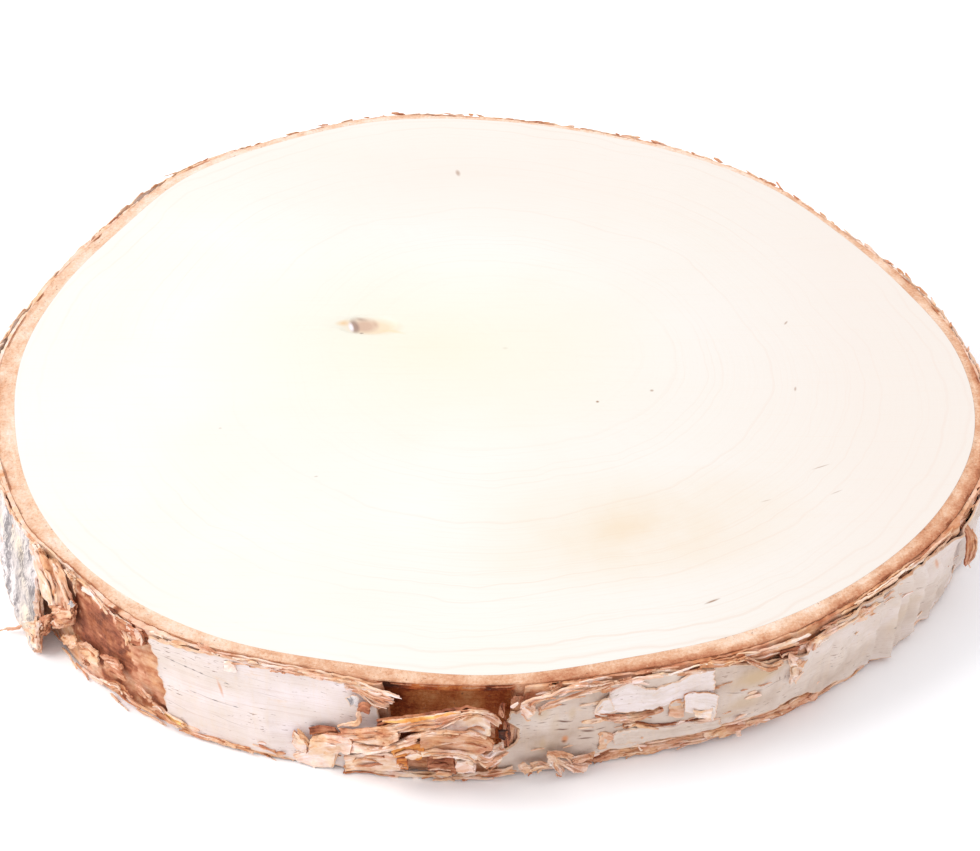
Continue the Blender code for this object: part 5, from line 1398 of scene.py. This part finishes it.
        ("torn edge two", "bark", 0.34, LONG_RAG, threads(5, 0.13, 0.6, (0.3, 0.8)),
         dict(layers=2, step=0.3), 2, 2961, 280, 2, 2966, 267, 4, 2976, 258, 6, 2980, 243, 10,
         2996, 227, 8, 2993, 220, 12, 3011, 229, 8, 3016, 211, 10),
        ("torn lip", "bark", 0.24, LONG_RAG, threads(5, 0.13, 0.53, (0.3, 0.7), (0.15, 0.5)),
         dict(layers=2, step=0.3), 2, 3043, 223, 2, 3044, 214, 7, 3053, 246, 4, 3058, 230, 9, 3075, 251, 4,
         3078, 242, 8, 3106, 252, 3, 3108, 242, 6, 3139, 248, 2, 3140, 240, 5, 3167, 253, 2, 3169, 243, 4),
        ("chip column", "bark", 0.14, LONG_RAG, threads(4, 0.1, 0.46, (0.3, 0.9), turned=True),
         dict(layers=2), 3, 3019, 242, 6, 3018, 225, 13, 3023, 194, 10, 3031, 216, 8, 3028, 210, 16,
         3030, 190, 14, 3044, 191, 8, 3039, 195, 15, 3039, 182, 12),
        ("chip column low", "bark", 0.18, LONG_RAG, threads(3, 0.1, 0.46, (0.3, 0.9), turned=True),
         dict(layers=2), 3, 3027, 189, 10, 3024, 170, 16, 3026, 137, 14, 3036, 184, 12, 3031, 168, 18,
         3031, 140, 16, 3045, 167, 10, 3040, 164, 15, 3038, 148, 12),
    ),
    "hook": (
        ("hook", "bark", 0.5, (0.3, 0.2, 0.3, 0.3), threads(3, 0.23, 0.53, (0.3, 0.8)),
         dict(crumple=0.2, taper=(0.0, 2.0), under=0.7), 2, 3292, 260, -6, 3304, 254, -6, 3300, 240, 6,
         3314, 230, 8, 3300, 214, 20, 3313, 207, 32, 3303, 183, 26, 3320, 167, 42, 3309, 147, 28,
         3336, 108, 40, 3320, 110, 28, 3338, 80, 34, 3332, 80, 30, 3342, 64, 32),
    ),
    "foot_rims": (
        ("foot rim right", "bark", 0.4, (0.8, 0.8, 0.6, 0.2),
         threads(8, 0.23, 0.56, (0.3, 0.7), (0.12, 0.35)), dict(layers=2), 2, 2811, 15, 1, 2814, -9, 2,
         2837, 32, 1, 2837, 6, 2, 2862, 35, 1, 2863, 3, 2, 2893, 33, 1, 2894, 5, 2, 2930, 44, 1,
         2932, 12, 2, 2978, 41, 1, 2980, 10, 2),
        ("low rim right", "bark", 0.42, (0.8, 0.8, 0.6, 0.2),
         threads(7, 0.23, 0.56, (0.3, 0.7), (0.12, 0.35)), dict(layers=2), 2, 2932, 47, 0, 2933, 23, 2,
         2962, 46, 0, 2964, 16, 2, 2994, 52, 0, 2996, 21, 2, 3023, 51, 0, 3026, 20, 2, 3055, 49, 0,
         3058, 13, 2, 3089, 28, 0, 3084, 1, 2),
    ),
}


# Scene

# The camera looks down at 38 degrees, and its lens and place fit the outline, in metres
CAMERA_PLACE = (0.0, -0.4668, 0.3704)
CAMERA_TILT = 52.0
CAMERA_LENS = 86.77
FLOOR_SIZE = 12.0
SKY_STRENGTH = 1.05
LAMP_PLACE = (-1.3, -0.15, 1.25)
LAMP_SIZE = 1.1
LAMP_POWER = 19.0


def make_floor():
    deselect()
    bpy.ops.mesh.primitive_plane_add(size=FLOOR_SIZE, location=(0.0, 0.0, 0.0))
    floor = bpy.context.object
    floor.name = "studio_floor"
    f = Finish("studio floor", rough=0.9, specular=0.1)
    cloudy = f.cloud(0.004, detail=2.0)
    base = f.ramp(cloudy, ((0.3, (0.965, 0.97, 1.0)), (0.7, (0.975, 0.98, 1.0))))
    floor.data.materials.append(f.done(base))


def lamp(name, size, power, place_at, tint):
    """A round lamp that looks at the middle of the floor."""
    deselect()
    bpy.ops.object.light_add(type="AREA", location=place_at)
    light = bpy.context.object
    light.name = name
    light.data.shape = "DISK"
    light.data.size = size
    light.data.energy = power
    light.data.color = tint
    x, y, z = place_at
    light.rotation_euler = (math.atan2(math.hypot(x, y), z), 0.0, math.atan2(x, -y))


def make_studio():
    world = bpy.data.worlds.new("studio")
    world.use_nodes = True
    back = world.node_tree.nodes["Background"]
    back.inputs["Color"].default_value = (0.985, 0.985, 1.0, 1.0)
    back.inputs["Strength"].default_value = SKY_STRENGTH
    bpy.context.scene.world = world
    lamp("left window", LAMP_SIZE, LAMP_POWER, LAMP_PLACE, (1.0, 0.995, 0.98))
    scene = bpy.context.scene
    scene.view_settings.view_transform = "Standard"
    scene.view_settings.look = "None"
    scene.view_settings.exposure = 0.0
    deselect()
    bpy.ops.object.camera_add(location=CAMERA_PLACE, rotation=(math.radians(CAMERA_TILT), 0.0, 0.0))
    camera = bpy.context.object
    camera.name = "main camera"
    camera.data.lens = CAMERA_LENS
    camera.data.sensor_width = 36.0
    camera.data.clip_start = 0.01
    camera.data.clip_end = 30.0
    scene.camera = camera


make_floor()
make_studio()
make_wood()
make_inner_bark()
make_under_bark()
for sheet_name, first, last, ends, shade, cell, seed, spill in (
        ("paper_left", 234.0, 258.8, (2.0, 1.0), 0.32, 0.42, 0,
         ((0.0, 0.6), (12.0, 0.4), (22.0, -0.3), (28.0, -0.4))),
        ("paper_right", 271.6, 345.0, (2.6, 0.0), 0.42, 0.42, 12,
         ((0.0, -1.6), (7.5, -1.3), (10.0, 0.2), (15.0, 0.9), (18.0, -0.4), (22.0, 0.4), (28.0, 1.0))),
        ("paper_back", 345.0, 556.0, (0.0, 1.0), 0.42, 0.8, 24, ())):
    made = paper(sheet_name, first, last, ends, shade, cell, seed, spill)
    hand_over(made, LOOKS["paper"], "papery_bark")
torn_pieces()
fringe_pieces()
peel_pieces()
